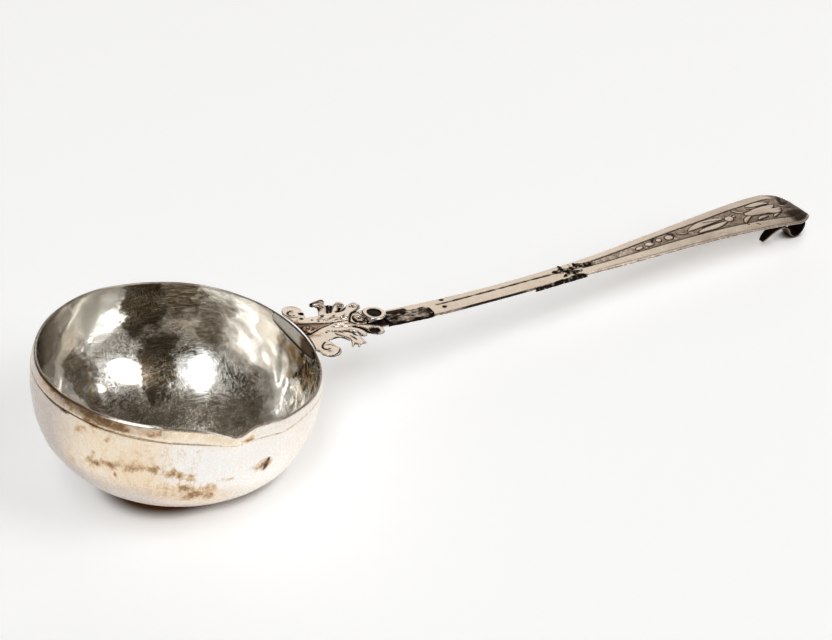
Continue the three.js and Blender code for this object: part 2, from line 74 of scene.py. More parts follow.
def from_bracket(x, y, z):
    """Points of the bracket's frame, counted in x from the bowl's axis, in the part's frame."""
    along = x - RIM_RADIUS
    return from_rim(
        RIM_RADIUS + along * math.cos(BRACKET_PITCH) - z * math.sin(BRACKET_PITCH),
        y,
        BRACKET_RISE + along * math.sin(BRACKET_PITCH) + z * math.cos(BRACKET_PITCH),
    )


# Mesh helpers.


def smoothstep(low, high, value):
    """Zero below low, one above high, and a smooth rise between them."""
    t = np.clip((value - low) / (high - low), 0, 1)
    return t * t * (3 - 2 * t)


def window(value, low, high, soft):
    """One between low and high, fading to zero over the soft width on each side."""
    return smoothstep(low - soft, low + soft, value) * (1 - smoothstep(high - soft, high + soft, value))


def bell(distance, width, power=2):
    """One at no distance, falling away over a width."""
    return np.exp(-((distance / width) ** power))


def blot(x, y, at, size, height=1.0):
    """Soft patch at a place, with a size each way."""
    return height * np.exp(-(((x - at[0]) / size[0]) ** 2 + ((y - at[1]) / size[1]) ** 2))


def add_mesh(name, points_mm, faces, material, replaced=(), attributes=None, face_slots=None):
    """A smooth mesh that rides on the part, from points in mm, with a value per point for each attribute."""
    mesh = bpy.data.meshes.new(name)
    mesh.from_pydata((np.reshape(points_mm, (-1, 3)) * MM).tolist(), [], faces)
    mesh.validate()
    for polygon in mesh.polygons:
        polygon.use_smooth = True
    for item in material if isinstance(material, list) else [material]:
        mesh.materials.append(item)
    if face_slots is not None:
        mesh.polygons.foreach_set("material_index", face_slots)
    for key, values in (attributes or {}).items():
        layer = mesh.attributes.new(key, "FLOAT", "POINT")
        layer.data.foreach_set("value", np.asarray(values, np.float32).ravel())
    mesh.update()
    thing = bpy.data.objects.new(name, mesh)
    bpy.context.scene.collection.objects.link(thing)
    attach(thing, "root")
    if replaced:
        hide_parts(*replaced)
    return thing


def ring_faces(rows, columns, closed=False):
    """Quads between rows of points, each row a ring. A closed tube joins its last row to its first."""
    faces = []
    for i in range(rows if closed else rows - 1):
        a = i * columns
        b = ((i + 1) % rows) * columns
        for j in range(columns):
            k = (j + 1) % columns
            faces.append((a + j, a + k, b + k, b + j))
    return faces


def capped_faces(rows, columns):
    """The same quads, with a flat cap on the first and the last ring."""
    caps = [tuple(range(columns))[::-1], tuple(range((rows - 1) * columns, rows * columns))]
    return ring_faces(rows, columns) + caps


def segment_distance(x, y, line):
    """Distance of every point to a line of corners, and the share of its length at the nearest place."""
    corners = np.asarray(line, float)
    lengths = np.hypot(*(corners[1:] - corners[:-1]).T)
    total = max(lengths.sum(), 1e-9)
    best = np.full(x.shape, 1e9)
    share = np.zeros(x.shape)
    start = 0.0
    for (ax, ay), (bx, by), length in zip(corners[:-1], corners[1:], lengths):
        dx, dy = bx - ax, by - ay
        t = np.clip(((x - ax) * dx + (y - ay) * dy) / max(length * length, 1e-12), 0, 1)
        d = np.hypot(x - ax - t * dx, y - ay - t * dy)
        nearer = d < best
        best = np.where(nearer, d, best)
        share = np.where(nearer, (start + t * length) / total, share)
        start += length
    return best, share


def smooth_line(points, count=24):
    """Catmull-Rom curve through a few points."""
    p = np.asarray(points, float)
    p = np.vstack([2 * p[0] - p[1], p, 2 * p[-1] - p[-2]])
    out = []
    spans = len(p) - 3
    for s in range(spans):
        a, b, c, d = p[s : s + 4]
        square, cube = 2 * a - 5 * b + 4 * c - d, 3 * b - a - 3 * c + d
        for t in np.linspace(0, 1, max(2, count // spans), endpoint=False):
            out.append(0.5 * (2 * b + (c - a) * t + square * t**2 + cube * t**3))
    out.append(p[-2])
    return np.array(out)


def stroke_distance(x, y, points):
    """Distance to a curve through the points, which is straight where there are only two."""
    return segment_distance(x, y, smooth_line(points) if len(points) > 2 else points)


def smooth_max(a, b, k):
    """The larger of two fields, rounded over k where they meet."""
    h = np.clip(0.5 + 0.5 * (a - b) / k, 0, 1)
    return b * (1 - h) + a * h + k * h * (1 - h)


def lump_noise(x, y, size, seed):
    """Sum of a few waves in fixed directions, about -1 to 1."""
    total = np.zeros(np.broadcast(x, y).shape)
    for i in range(7):
        angle = seed * 1.7 + i * 2.399
        wave = 2 * math.pi / (size * (0.7 + 0.11 * i))
        total = total + np.sin(wave * (x * math.cos(angle) + y * math.sin(angle)) + seed * 3.1 + i * i)
    return total / 4


def patchy(x, y, size, seed, middle, swing, most=1.0):
    """Uneven strength: its middle value, how far the waves swing it, and the most that it reaches."""
    return np.clip(middle + swing * lump_noise(x, y, size, seed), 0, most)


def slab(name, x, y, inside, top, bottom, place, material, replaced, attributes):
    """A closed plate over the part of a grid where inside > 0, with its outline drawn on inside = 0."""
    rows, columns = x.shape
    keep = inside > 0
    cells = keep[:-1, :-1] & keep[1:, :-1] & keep[:-1, 1:] & keep[1:, 1:]
    used = np.zeros_like(keep)
    used[:-1, :-1] |= cells
    used[1:, :-1] |= cells
    used[:-1, 1:] |= cells
    used[1:, 1:] |= cells
    full = np.zeros((rows + 1, columns + 1), int)
    full[1:rows, 1:columns] = cells
    around = full[:-1, :-1] + full[1:, :-1] + full[:-1, 1:] + full[1:, 1:]
    border = used & (around < 4)
    gy, gx = np.gradient(inside, y[1, 0] - y[0, 0], x[0, 1] - x[0, 0])
    slope = np.maximum(gx**2 + gy**2, 0.2)
    limit = 1.2 * abs(x[0, 1] - x[0, 0])
    mx = np.where(border, np.clip(-inside * gx / slope, -limit, limit), 0)
    my = np.where(border, np.clip(-inside * gy / slope, -limit, limit), 0)
    px, py = x + mx, y + my
    height_top = np.where(border, bottom + 0.02, top)
    index = -np.ones((rows, columns), int)
    index[used] = np.arange(used.sum())
    count = int(used.sum())
    upper = place(px, py, height_top)[used]
    lower = place(px, py, bottom)[used]
    faces = []
    ci, cj = np.nonzero(cells)
    a, b = index[ci, cj], index[ci, cj + 1]
    c, d = index[ci + 1, cj + 1], index[ci + 1, cj]
    faces += np.stack([a, b, c, d], 1).tolist()
    faces += (np.stack([d, c, b, a], 1) + count).tolist()
    edges = {}
    for p, q in ((a, b), (b, c), (c, d), (d, a)):
        for s, t in zip(p.tolist(), q.tolist()):
            if (t, s) in edges:
                del edges[(t, s)]
            else:
                edges[(s, t)] = True
    faces += [(t, s, s + count, t + count) for s, t in edges]
    values = {key: np.concatenate([value[used], value[used]]) for key, value in attributes.items()}
    return add_mesh(name, np.vstack([upper, lower]), faces, material, replaced, values)


# Materials.


class Nodes:
    """Short calls for the nodes of one material."""

    def __init__(self, name):
        self.material = bpy.data.materials.new(name)
        self.material.use_nodes = True
        self.tree = self.material.node_tree
        self.shader = self.tree.nodes["Principled BSDF"]

    def link(self, source, target):
        self.tree.links.new(source, target)

    def put(self, value, socket):
        if isinstance(value, (int, float, tuple, list)):
            socket.default_value = value
        else:
            self.link(value, socket)

    def attribute(self, name):
        node = self.tree.nodes.new("ShaderNodeAttribute")
        node.attribute_name = name
        return node.outputs["Fac"]

    def coordinates(self, scale=(1, 1, 1), turn=(0, 0, 0)):
        """Place on the part, turned and then stretched."""
        source = self.tree.nodes.new("ShaderNodeTexCoord")
        vector = source.outputs["Object"]
        for key, value in (("Rotation", [math.radians(a) for a in turn]), ("Scale", scale)):
            node = self.tree.nodes.new("ShaderNodeMapping")
            node.inputs[key].default_value = value
            self.link(vector, node.inputs["Vector"])
            vector = node.outputs["Vector"]
        return vector

    def noise(self, per_mm, detail=3.0, roughness=0.55, stretch=(1, 1, 1), turn=(0, 0, 0)):
        node = self.tree.nodes.new("ShaderNodeTexNoise")
        node.inputs["Scale"].default_value = per_mm / MM
        node.inputs["Detail"].default_value = detail
        node.inputs["Roughness"].default_value = roughness
        self.link(self.coordinates(stretch, turn), node.inputs["Vector"])
        return node.outputs["Fac"]

    def math(self, operation, a, b):
        node = self.tree.nodes.new("ShaderNodeMath")
        node.operation = operation
        self.put(a, node.inputs[0])
        self.put(b, node.inputs[1])
        return node.outputs[0]

    def plus(self, a, b):
        return self.math("ADD", a, b)

    def times(self, a, b):
        return self.math("MULTIPLY", a, b)

    def ramp(self, value, low, high, out_low=0.0, out_high=1.0):
        node = self.tree.nodes.new("ShaderNodeMapRange")
        node.interpolation_type = "SMOOTHSTEP"
        self.put(value, node.inputs["Value"])
        for key, number in (("From Min", low), ("From Max", high), ("To Min", out_low), ("To Max", out_high)):
            self.put(number, node.inputs[key])
        return node.outputs[0]

    def mix(self, factor, a, b):
        node = self.tree.nodes.new("ShaderNodeMix")
        node.data_type = "RGBA"
        self.put(factor, node.inputs["Factor"])
        colours = [s for s in node.inputs if s.type == "RGBA"]
        for value, socket in zip((a, b), colours):
            self.put((*value, 1.0) if isinstance(value, tuple) else value, socket)
        return [s for s in node.outputs if s.type == "RGBA"][0]

    def bump(self, height, distance_mm, normal=None):
        node = self.tree.nodes.new("ShaderNodeBump")
        node.inputs["Distance"].default_value = distance_mm * MM
        self.link(height, node.inputs["Height"])
        if normal is not None:
            self.link(normal, node.inputs["Normal"])
        return node.outputs["Normal"]


def silver(name, base, rough, warm=(0.93, 0.76, 0.55), tan=(0.62, 0.42, 0.25), brown=(0.24, 0.13, 0.065),
           black=(0.03, 0.02, 0.014), film=(0.5, 0.43, 0.38), cloud=0.15, cloud_colour=(0.68, 0.56, 0.46),
           streaks=(1, 1, 1), grain=0.012, scratch=0.02, scratch_turns=((0, 0, 15), (0, 0, -12)), rings=0.0,
           metallic=1.0):
    """Old silver. Vertex layers say where it is yellowed, under a grey film, stained brown or nearly black;
    on some parts these layers also carry painted shade and painted reflections.

    Cloud and rings are shares, grain and scratch are depths in mm, and the turns are those of the scratches.
    """
    n = Nodes(name)
    wide = n.noise(0.05, 4.0, 0.6)
    fine = n.noise(0.75, 5.0, 0.68, stretch=streaks)
    specks = n.noise(2.1, 3.0, 0.6)
    around_zero = n.math("SUBTRACT", specks, 0.5)

    # Wear in large and small patches lets each layer come and go.
    wear = n.plus(n.times(wide, 0.65), n.times(fine, 0.35))
    colour = n.mix(n.times(n.ramp(wear, 0.46, 0.62), cloud), base, cloud_colour)
    colour = n.mix(n.times(n.attribute("warm"), n.ramp(wear, 0.35, 0.6, 0.7, 1.0)), colour, warm)
    film_layer = n.attribute("film")
    if rings:
        turned_lines = n.noise(1.5, 3.0, 0.65, stretch=(0.16, 0.16, 1.5))
        film_layer = n.times(film_layer, n.ramp(turned_lines, 0.36, 0.6, 1.0 - rings, 1.0))
    colour = n.mix(n.times(film_layer, n.ramp(wear, 0.3, 0.6, 0.7, 1.0)), colour, film)

    # Stains are tan where thin and brown where thick.
    stain_layer = n.attribute("stain")
    mottle = n.plus(n.times(n.math("SUBTRACT", fine, 0.5), 1.7), n.times(around_zero, 0.9))
    stain = n.plus(stain_layer, n.times(mottle, n.ramp(stain_layer, 0.0, 0.35)))
    colour = n.mix(n.ramp(stain, 0.08, 0.62, 0.0, 0.95), colour, tan)
    colour = n.mix(n.ramp(stain, 0.5, 1.05, 0.0, 0.95), colour, brown)
    dark_layer = n.attribute("dark")
    dark = n.plus(dark_layer, n.times(around_zero, n.ramp(dark_layer, 0.0, 0.3, 0.0, 0.7)))
    dark_mask = n.ramp(dark, 0.12, 0.8)
    colour = n.mix(dark_mask, colour, black)
    n.link(colour, n.shader.inputs["Base Color"])
    n.shader.inputs["Metallic"].default_value = metallic

    # Dirt is rougher than bare metal.
    dirt = n.math("MAXIMUM", n.ramp(stain, 0.1, 1.0, 0.0, 0.12), n.times(dark_mask, 0.25))
    n.link(n.plus(n.ramp(fine, 0.3, 0.7, rough * 0.85, rough * 1.2), dirt), n.shader.inputs["Roughness"])
    normal = n.bump(specks, grain)
    for turn in scratch_turns:
        lines = n.noise(3.6, 0.0, 0.5, stretch=(0.02, 1.0, 1.0), turn=turn)
        normal = n.bump(n.ramp(lines, 0.62, 0.72), scratch, normal)
    n.link(normal, n.shader.inputs["Normal"])
    return n.material


BOWL_OUT = silver("satin_silver", (0.98, 0.955, 0.925), 0.28, tan=(0.72, 0.52, 0.33),
                  brown=(0.3, 0.17, 0.08), black=(0.06, 0.04, 0.03), film=(0.58, 0.51, 0.47), cloud=0.15,
                  cloud_colour=(0.93, 0.8, 0.64), streaks=(1, 1, 0.75), grain=0.006, scratch=0.003)
# Directions of the fine scratches inside the bowl, in degrees about each axis.
BOWL_SCRATCHES = ((0, 0, 20), (0, 0, 70), (0, 0, 118), (0, 0, 160), (50, 0, 40), (-40, 30, 100))
BOWL_IN = silver("polished_silver", (0.98, 0.965, 0.93), 0.06, tan=(0.62, 0.4, 0.16),
                 brown=(0.3, 0.17, 0.06), black=(0.035, 0.02, 0.006), film=(0.13, 0.088, 0.03), cloud=0.12,
                 cloud_colour=(0.8, 0.71, 0.55), streaks=(1, 1, 0.3), grain=0.001, scratch=0.011, rings=0.3,
                 scratch_turns=BOWL_SCRATCHES)
PLATE = silver("plate_silver", (0.98, 0.95, 0.88), 0.24, tan=(0.5, 0.34, 0.15), brown=(0.22, 0.13, 0.05),
               cloud=0.25, cloud_colour=(0.93, 0.8, 0.6), grain=0.006, scratch=0.004, metallic=0.3)
RIM_EDGE = silver("worn_rim", (0.95, 0.91, 0.86), 0.25, tan=(0.5, 0.34, 0.22), brown=(0.2, 0.11, 0.06),
                  film=(0.42, 0.35, 0.3), grain=0.004, scratch=0.003)
CAST = silver("cast_silver", (0.99, 0.91, 0.85), 0.23, tan=(0.6, 0.42, 0.3), brown=(0.22, 0.12, 0.07),
              black=(0.028, 0.018, 0.014), cloud=0.15, cloud_colour=(0.8, 0.66, 0.55), grain=0.007,
              scratch=0.003)
HANDLE = silver("handle_silver", (0.95, 0.86, 0.79), 0.28, tan=(0.36, 0.28, 0.23),
                brown=(0.17, 0.115, 0.085), black=(0.035, 0.02, 0.014), film=(0.5, 0.42, 0.38), cloud=0.35,
                cloud_colour=(0.82, 0.7, 0.6), grain=0.01, scratch=0.008)
OLD_SOLDER = silver("old_solder", (0.72, 0.62, 0.55), 0.42, tan=(0.2, 0.15, 0.09),
                    brown=(0.08, 0.055, 0.03), black=(0.016, 0.01, 0.008), cloud=0.3,
                    cloud_colour=(0.35, 0.28, 0.23), grain=0.05, scratch=0.01)
OXIDE = silver("oxidised_silver", (0.18, 0.125, 0.1), 0.36, tan=(0.45, 0.35, 0.25), brown=(0.5, 0.38, 0.27),
               black=(0.02, 0.013, 0.01), cloud=0.3, cloud_colour=(0.08, 0.05, 0.04), grain=0.02,
               scratch=0.01)

# Bowl.

# Rim unevenness: degrees round from the handle, and millimetres outwards.
RIM_WAVES = np.array([
    (-180, 0.5), (-165, 0.2), (-155, -0.5), (-145, -0.7), (-137, -1.4), (-130, -2.0), (-122, -2.6),
    (-114, -2.9), (-106, -2.6), (-98, -2.3), (-90, -2.0), (-82, -1.6), (-76, -1.2), (-70, -0.3),
    (-60, -0.1), (-53, 0.2), (-44, 0.4), (-27, 0.0), (-17, -0.5), (-6, -0.7), (4, -0.7), (11, -0.5),
    (18, -0.3), (30, 0.2), (40, 0.4), (50, 0.8), (58, 0.9), (67, 0.7), (76, 0.3), (94, -0.1), (103, 0.2),
    (114, 0.0), (127, -0.4), (147, -0.3), (160, 0.0), (172, 0.4), (180, 0.5)])
LIP_ANGLE = -93.2
LIP_REACH = 4.5
LIP_WIDTH = 7.4
LIP_DEPTH = 9.5
# Depth of the incised line below the rim, by angle.
LINE_DEPTHS = np.array([
    (-180, 3.8), (-165, 3.7), (-145, 3.7), (-130, 3.95), (-120, 4.4), (-106, 4.2), (-96, 4.25), (-90, 4.4),
    (-86, 4.05), (-80, 4.25), (-72, 4.45), (-62, 3.8), (-50, 3.3), (-20, 3.6), (60, 4.0), (180, 3.8)])


# Surfaces of the bowl, in the order of its material slots.
OUTSIDE, RIM, INSIDE = range(3)
COLUMNS = 720
RIM_EDGE_DROP = 0.32
# Where the fine rings under the incised line end.
LOWER_WALL = 8.0


def wall_radius(depth, inset):
    """Radius of the wall's outside, or of a surface that lies inside it, at a depth below the rim."""
    share = np.clip(depth / (BOWL_DEPTH - inset), 0, 1)
    return (RIM_RADIUS + SWELL - inset) * (1 - share**FULLNESS) ** (1 / ROUNDNESS) - SWELL * rim_share(depth)


def rim_share(depth):
    return np.maximum(0, 1 - depth / SWELL_DEPTH) ** 2


def outer_radius(depth):
    return wall_radius(depth, 0)


def inner_radius(depth):
    return wall_radius(depth, WALL) + RIM_WEAR * rim_share(depth)


def wall_shift(angle, depth):
    """How far the rim's waves and the lip push the wall out."""
    waves = np.interp(angle, RIM_WAVES[:, 0], RIM_WAVES[:, 1])
    away = np.abs((angle - LIP_ANGLE + 180) % 360 - 180)
    lip = LIP_REACH * bell(away, LIP_WIDTH, 1.7) * np.clip(1 - depth / LIP_DEPTH, 0, 1) ** 1.6
    return waves * bell(depth, 14) + lip


def lean(angle, depth):
    """How far the bowl's lower part is out of round, as the raising left it."""
    turn = np.radians(angle)
    return smoothstep(3, 33, depth) * (0.5 * np.cos(turn) - 0.45 * np.sin(turn) + 0.8 * np.cos(2 * turn))


def hammer(angle, depth, seed):
    """Shallow unevenness of a raised wall, fading towards the rim and where the wall closes."""
    arc = np.radians(angle) * 40
    fade = smoothstep(1.5, 8, depth) * (1 - 0.6 * smoothstep(30, 40, depth))
    front = 0.5 + 0.5 * np.cos(np.radians(angle))
    near = lump_noise(arc, depth * 1.6, 17, seed)
    far = lump_noise(arc + 60, depth * 1.6, 17, seed + 2)
    return fade * (near * front + far * (1 - front))


def dents(angle, depth):
    """Upright waves of the inside's upper wall, and the crumpled place next to the inner plate."""
    upright = sum(np.sin(np.radians(angle) * k + k * k) for k in (9, 14, 23, 31)) / 4
    wrinkles = lump_noise(angle * 0.8, depth * 0.9, 8.5, 2.6) * window(angle, -28, 12, 5)
    return 0.08 * upright * window(depth, 2.5, 24, 2.5) + 0.16 * wrinkles * window(depth, 7, 24, 3)


def bowl_rings(angle):
    """Surface, depth and radius of each ring, from the middle of the inside over the rim and down again."""
    for depth in (BOWL_DEPTH - WALL) * np.sin(np.linspace(math.pi / 2 - 0.02, 0.02, 110)):
        wall = wall_shift(angle, depth) + 0.1 * hammer(angle, depth, 1.3) + dents(angle, depth)
        yield INSIDE, depth, inner_radius(depth) + wall + 0.5 * lean(angle, depth)
    middle = (outer_radius(0) + inner_radius(0)) / 2
    for turn in np.linspace(0, math.pi, 9):
        radius = middle - (outer_radius(0) - inner_radius(0)) / 2 * math.cos(turn)
        yield RIM, RIM_EDGE_DROP * (1 - math.sin(turn) ** 0.8), radius + wall_shift(angle, 0)
    line = line_depth(angle)
    shares = np.concatenate([np.linspace(0.1, 0.82, 10), [0.88, 0.925, 0.96, 1.0, 1.04, 1.075, 1.12]])
    for share in shares:
        depth = line * share
        yield OUTSIDE, depth, outer_radius(depth) + wall_shift(angle, depth) - 0.16 * bell(depth - line, 0.2)
    start = line * shares[-1]
    upper = [start + (LOWER_WALL - start) * share for share in np.linspace(0.02, 1, 12)]
    lower = BOWL_DEPTH * np.sin(np.linspace(math.asin(8.6 / BOWL_DEPTH), math.pi / 2 - 0.015, 96))
    for depth in [*upper, *lower]:
        wall = wall_shift(angle, depth) + 0.12 * hammer(angle, depth, 4.1) + lean(angle, depth)
        yield OUTSIDE, depth, outer_radius(depth) + wall


def line_depth(angle):
    return np.interp(angle, LINE_DEPTHS[:, 0], LINE_DEPTHS[:, 1])


def bowl():
    """The raised bowl as one closed skin, with the inside, the rim's edge and the outside as its surfaces."""
    angle = np.linspace(-180, 180, COLUMNS, endpoint=False)
    turn = np.radians(angle)
    rings = [(kind, np.broadcast_to(depth, angle.shape), radius) for kind, depth, radius in bowl_rings(angle)]
    points = np.array([from_rim(r * np.cos(turn), r * np.sin(turn), -depth) for _, depth, r in rings])
    points[..., 2] = np.maximum(points[..., 2], 0.0)
    middles = [from_rim(0, 0, -(BOWL_DEPTH - WALL)), np.maximum(from_rim(0, 0, -BOWL_DEPTH), 0)]
    middles[1][2] = points[-1, :, 2].min()
    count = len(rings)
    faces = ring_faces(count, COLUMNS)
    first, last = count * COLUMNS, count * COLUMNS + 1
    base = (count - 1) * COLUMNS
    for j in range(COLUMNS):
        faces.append((first, (j + 1) % COLUMNS, j))
        faces.append((last, base + j, base + (j + 1) % COLUMNS))
    slots = []
    for (above, *_), (below, *_) in zip(rings[:-1], rings[1:]):
        slots += [OUTSIDE if OUTSIDE in (above, below) else max(above, below)] * COLUMNS
    slots += [INSIDE, OUTSIDE] * COLUMNS
    marks = [MARKS[kind](angle, depth) for kind, depth, _ in rings]
    layers = {key: np.append(np.clip([mark[key] for mark in marks], 0, 1), [0, 0]) for key in LAYERS}
    add_mesh("bowl_looks", np.vstack([points.reshape(-1, 3), middles]), faces, [BOWL_OUT, RIM_EDGE, BOWL_IN],
             ["bowl"], layers, slots)


# Stains outside: (degrees, depth), size in degrees and mm, strength.
OUTSIDE_STAINS = [
    ((-109.5, 20.4), (2.4, 1.3), 0.95), ((-104.5, 23.6), (2.6, 1.7), 0.8), ((-98.5, 25), (2.0, 2.2), 0.7),
    ((-101, 21), (3, 2.4), 0.5), ((-108, 25.5), (3, 2), 0.4), ((-86.6, 3.7), (1.5, 0.5), 0.9),
    ((-87.5, 3.0), (3, 0.9), 0.45), ((-93, 17.5), (4, 1), 0.4), ((-80, 15), (4, 1.8), 0.55),
    ((-76.5, 14.8), (2.6, 2.0), 0.85), ((-143, 28), (1.2, 1.0), 0.6), ((-157, 21), (2.0, 1.8), 0.45),
    ((-153.5, 7.8), (1.3, 1.0), 0.7), ((-151, 6.3), (2, 0.7), 0.5), ((-146, 13.2), (0.9, 0.8), 0.7),
    ((-136.8, 18.9), (0.9, 0.9), 0.8), ((-141, 7.2), (1.5, 0.8), 0.4), ((-150, 3.5), (2.6, 0.6), 0.95),
    ((-146.5, 3.9), (2.6, 0.6), 0.95), ((-124, 2.2), (4, 0.9), 0.6), ((-137, 2.0), (4, 1.3), 0.8),
    ((-144, 1.8), (5, 1.4), 0.9), ((-151, 1.2), (4, 1.2), 0.8), ((-159, 1.6), (2.5, 1), 0.6),
    ((-170, 0.8), (8, 0.7), 0.5), ((-114.5, 13.4), (1, 0.8), 0.5), ((-108, 16), (1.6, 1.6), 0.6),
    ((-155, 37.5), (2.4, 0.8), 0.5)]
OUTSIDE_SPOTS = [
    ((-75.6, 13.2), (1.0, 0.8), 0.85), ((-76.4, 15.6), (1.1, 1.5), 0.9), ((-77.2, 17), (0.8, 0.8), 0.4),
    ((-161, 4.2), (3.0, 0.7), 0.7), ((-109.8, 20.2), (1.0, 0.7), 0.3)]
# Wide areas outside: from, to and softness in degrees, the same in depth, then the strength.
ALL_DEPTHS = (-99, 99, 1)
BELOW = 99
RIM_BAND = ((-183, -119, 4), (0.2, 3.2, 0.5))
STAINED_AREAS = [
    (*RIM_BAND, 0.42), ((-165, -100, 9), (4.5, 27, 2.5), 0.22), ((-122, -95, 4), (19, 26, 2), 0.35),
    ((-200, -55, 12), (38.5, BELOW, 1.5), 0.5)]
# Waves that break up each stained area: stretch round and down, size, seed, middle, swing and most.
STAINED_WAVES = [
    (1.6, 3, 8, 6, 0.65, 0.7, 1.3), (1.6, 0.7, 9, 5, 0.65, 0.5, 1.2), (2.2, 0.3, 7, 8, 0.5, 0.8, 1.2),
    (0.4, 4, 9, 7, 0.55, 0.6, 1.2)]
# The brown belt below the middle: degrees and depth.
BELT = np.array([
    (-150, 17.6), (-147, 17), (-140, 16), (-132, 15), (-125, 13.7), (-118, 14.4), (-110, 15.5), (-104, 18)])
FILMED_AREAS = [
    (*RIM_BAND, 0.75), ((-400, 400, 1), (40.5, BELOW, 1), 0.75), ((-176, -116, 12), (23, 37.5, 4), 0.8),
    ((-60, -10, 10), (1, 30, 4), 0.12), ((-112, -70, 6), (19, BELOW, 3), 0.3),
    ((-180, -150, 10), ALL_DEPTHS, 0.3)]
INSIDE_STAINS = [
    ((-8, 13), (5, 5), 0.95), ((4, 17), (5, 3), 0.5), ((6, 10), (5, 4), 0.7), ((-15, 10), (5, 3), 0.8),
    ((-3, 9), (6, 3), 0.8), ((16, 9), (4, 3), 0.4), ((-21, 7), (5, 3), 0.6)]
# Tarnish inside, together with painted dark reflections of the room, which also shape the highlights: angles
# from and to, depths from and to, then how much film, black and brown.
TARNISH_AND_DARK_REFLECTIONS = [
    (43, 57, 5, 22, 0.85, 0.05, 0), (56, 76, -5, 13, 1.0, 0.28, 0), (56, 74, 21, 27, 0.75, 0, 0),
    (72, 92, -5, 19, 1.0, 0.58, 0), (65, 84, 19, 38, 1.0, 0.48, 0), (99, 112, -5, 19, 0.35, 0, 0),
    (129, 158, -5, 17, 0.9, 0.12, 0.1), (111, 127, 19, 38, 0.85, 0.4, 0.3), (58, 74, 14, 20, 0.2, 0, 0.2),
    (8, 43, 25, 43, 0.5, 0.1, 0), (-26, -2, 2, 17, 0.4, 0, 0), (43, 68, 34, 43, 0.5, 0, 0),
    (68, 86, 37, 43, 0.3, 0, 0), (86, 125, 33, 43, 0.6, 0.1, 0), (1, 16, 5.5, 14, 0.5, 0, 0),
    (18, 26, 20, 28, 0.6, 0, 0)]
# Dark diagonal streak next to the inner plate: degrees times STREAK_SQUEEZE, and depth.
STREAK = [(-11, 4.5), (-5, 9.5), (1, 17)]
STREAK_SQUEEZE = 0.75
LAYERS = ("stain", "dark", "film", "warm")


def area(angle, depth, angles, depths, strength=1.0):
    return strength * window(angle, *angles) * window(depth, *depths)


def rim_marks(angle, depth):
    """The rim's edge is filmed and stained, apart from a painted highlight next to the lip, where the film
    and some of the stain are left off.
    """
    # Painted highlight: the film and part of the stain are left off between -142 and -122 degrees.
    dull = 1 - window(angle, -142, -122, 1.5)
    stain = 0.55 * window(angle, -182, -150, 3) + 0.2 * dull * (0.5 + 0.5 * np.sin(angle * 0.21))
    none = np.zeros(angle.shape)
    return {"stain": stain, "dark": none, "film": 0.9 * dull, "warm": none}


def inside_marks(angle, depth):
    """Bands of tarnish and painted dark reflection on the far wall, and brown and black dirt next to the
    inner plate.
    """
    stain = sum(blot(angle, depth, *row) for row in INSIDE_STAINS)
    stain = stain * patchy(angle, depth * 2, 6, 2.2, 0.75, 0.5, 1.2)
    dark = 0.9 * blot(angle, depth, (-5, 13), (9, 3.5)) * patchy(angle, depth, 5, 4.4, 0.4, 1)
    film = 0.35 * window((angle + 360) % 360, 150, 290, 15) * (1 - smoothstep(20, 30, depth))
    wobble = lump_noise(angle * 0.7, depth, 7, 3.3) + 0.5 * lump_noise(angle, depth * 1.5, 3, 1.2)
    freckled = patchy(angle, depth * 2, 5, 2.7, 0.5, 1)
    # Each band lays on tarnish and painted dark reflection.
    for left, right, top, bottom, grey, black, brown in TARNISH_AND_DARK_REFLECTIONS:
        patch = window(angle + 3 * wobble, left, right, 3.5) * window(depth + 2 * wobble, top, bottom, 3.2)
        film = np.maximum(film, grey * patch)
        dark = np.maximum(dark, black * patch)
        stain = np.maximum(stain, brown * patch * freckled)
    crumpled = area(angle, depth, (-27, 2, 3), (0, 18, 2), 0.8)
    dark = np.maximum(dark, crumpled * patchy(angle, depth * 0.5, 3.4, 7.7, 0, 1.3))
    streak, _ = segment_distance(angle * STREAK_SQUEEZE, depth, STREAK)
    dark = np.maximum(dark, 0.95 * bell(streak, 1.5) * patchy(angle, depth, 3, 4.4, 0.6, 1))
    return {"stain": stain, "dark": dark, "film": film, "warm": np.full(angle.shape, 0.1)}


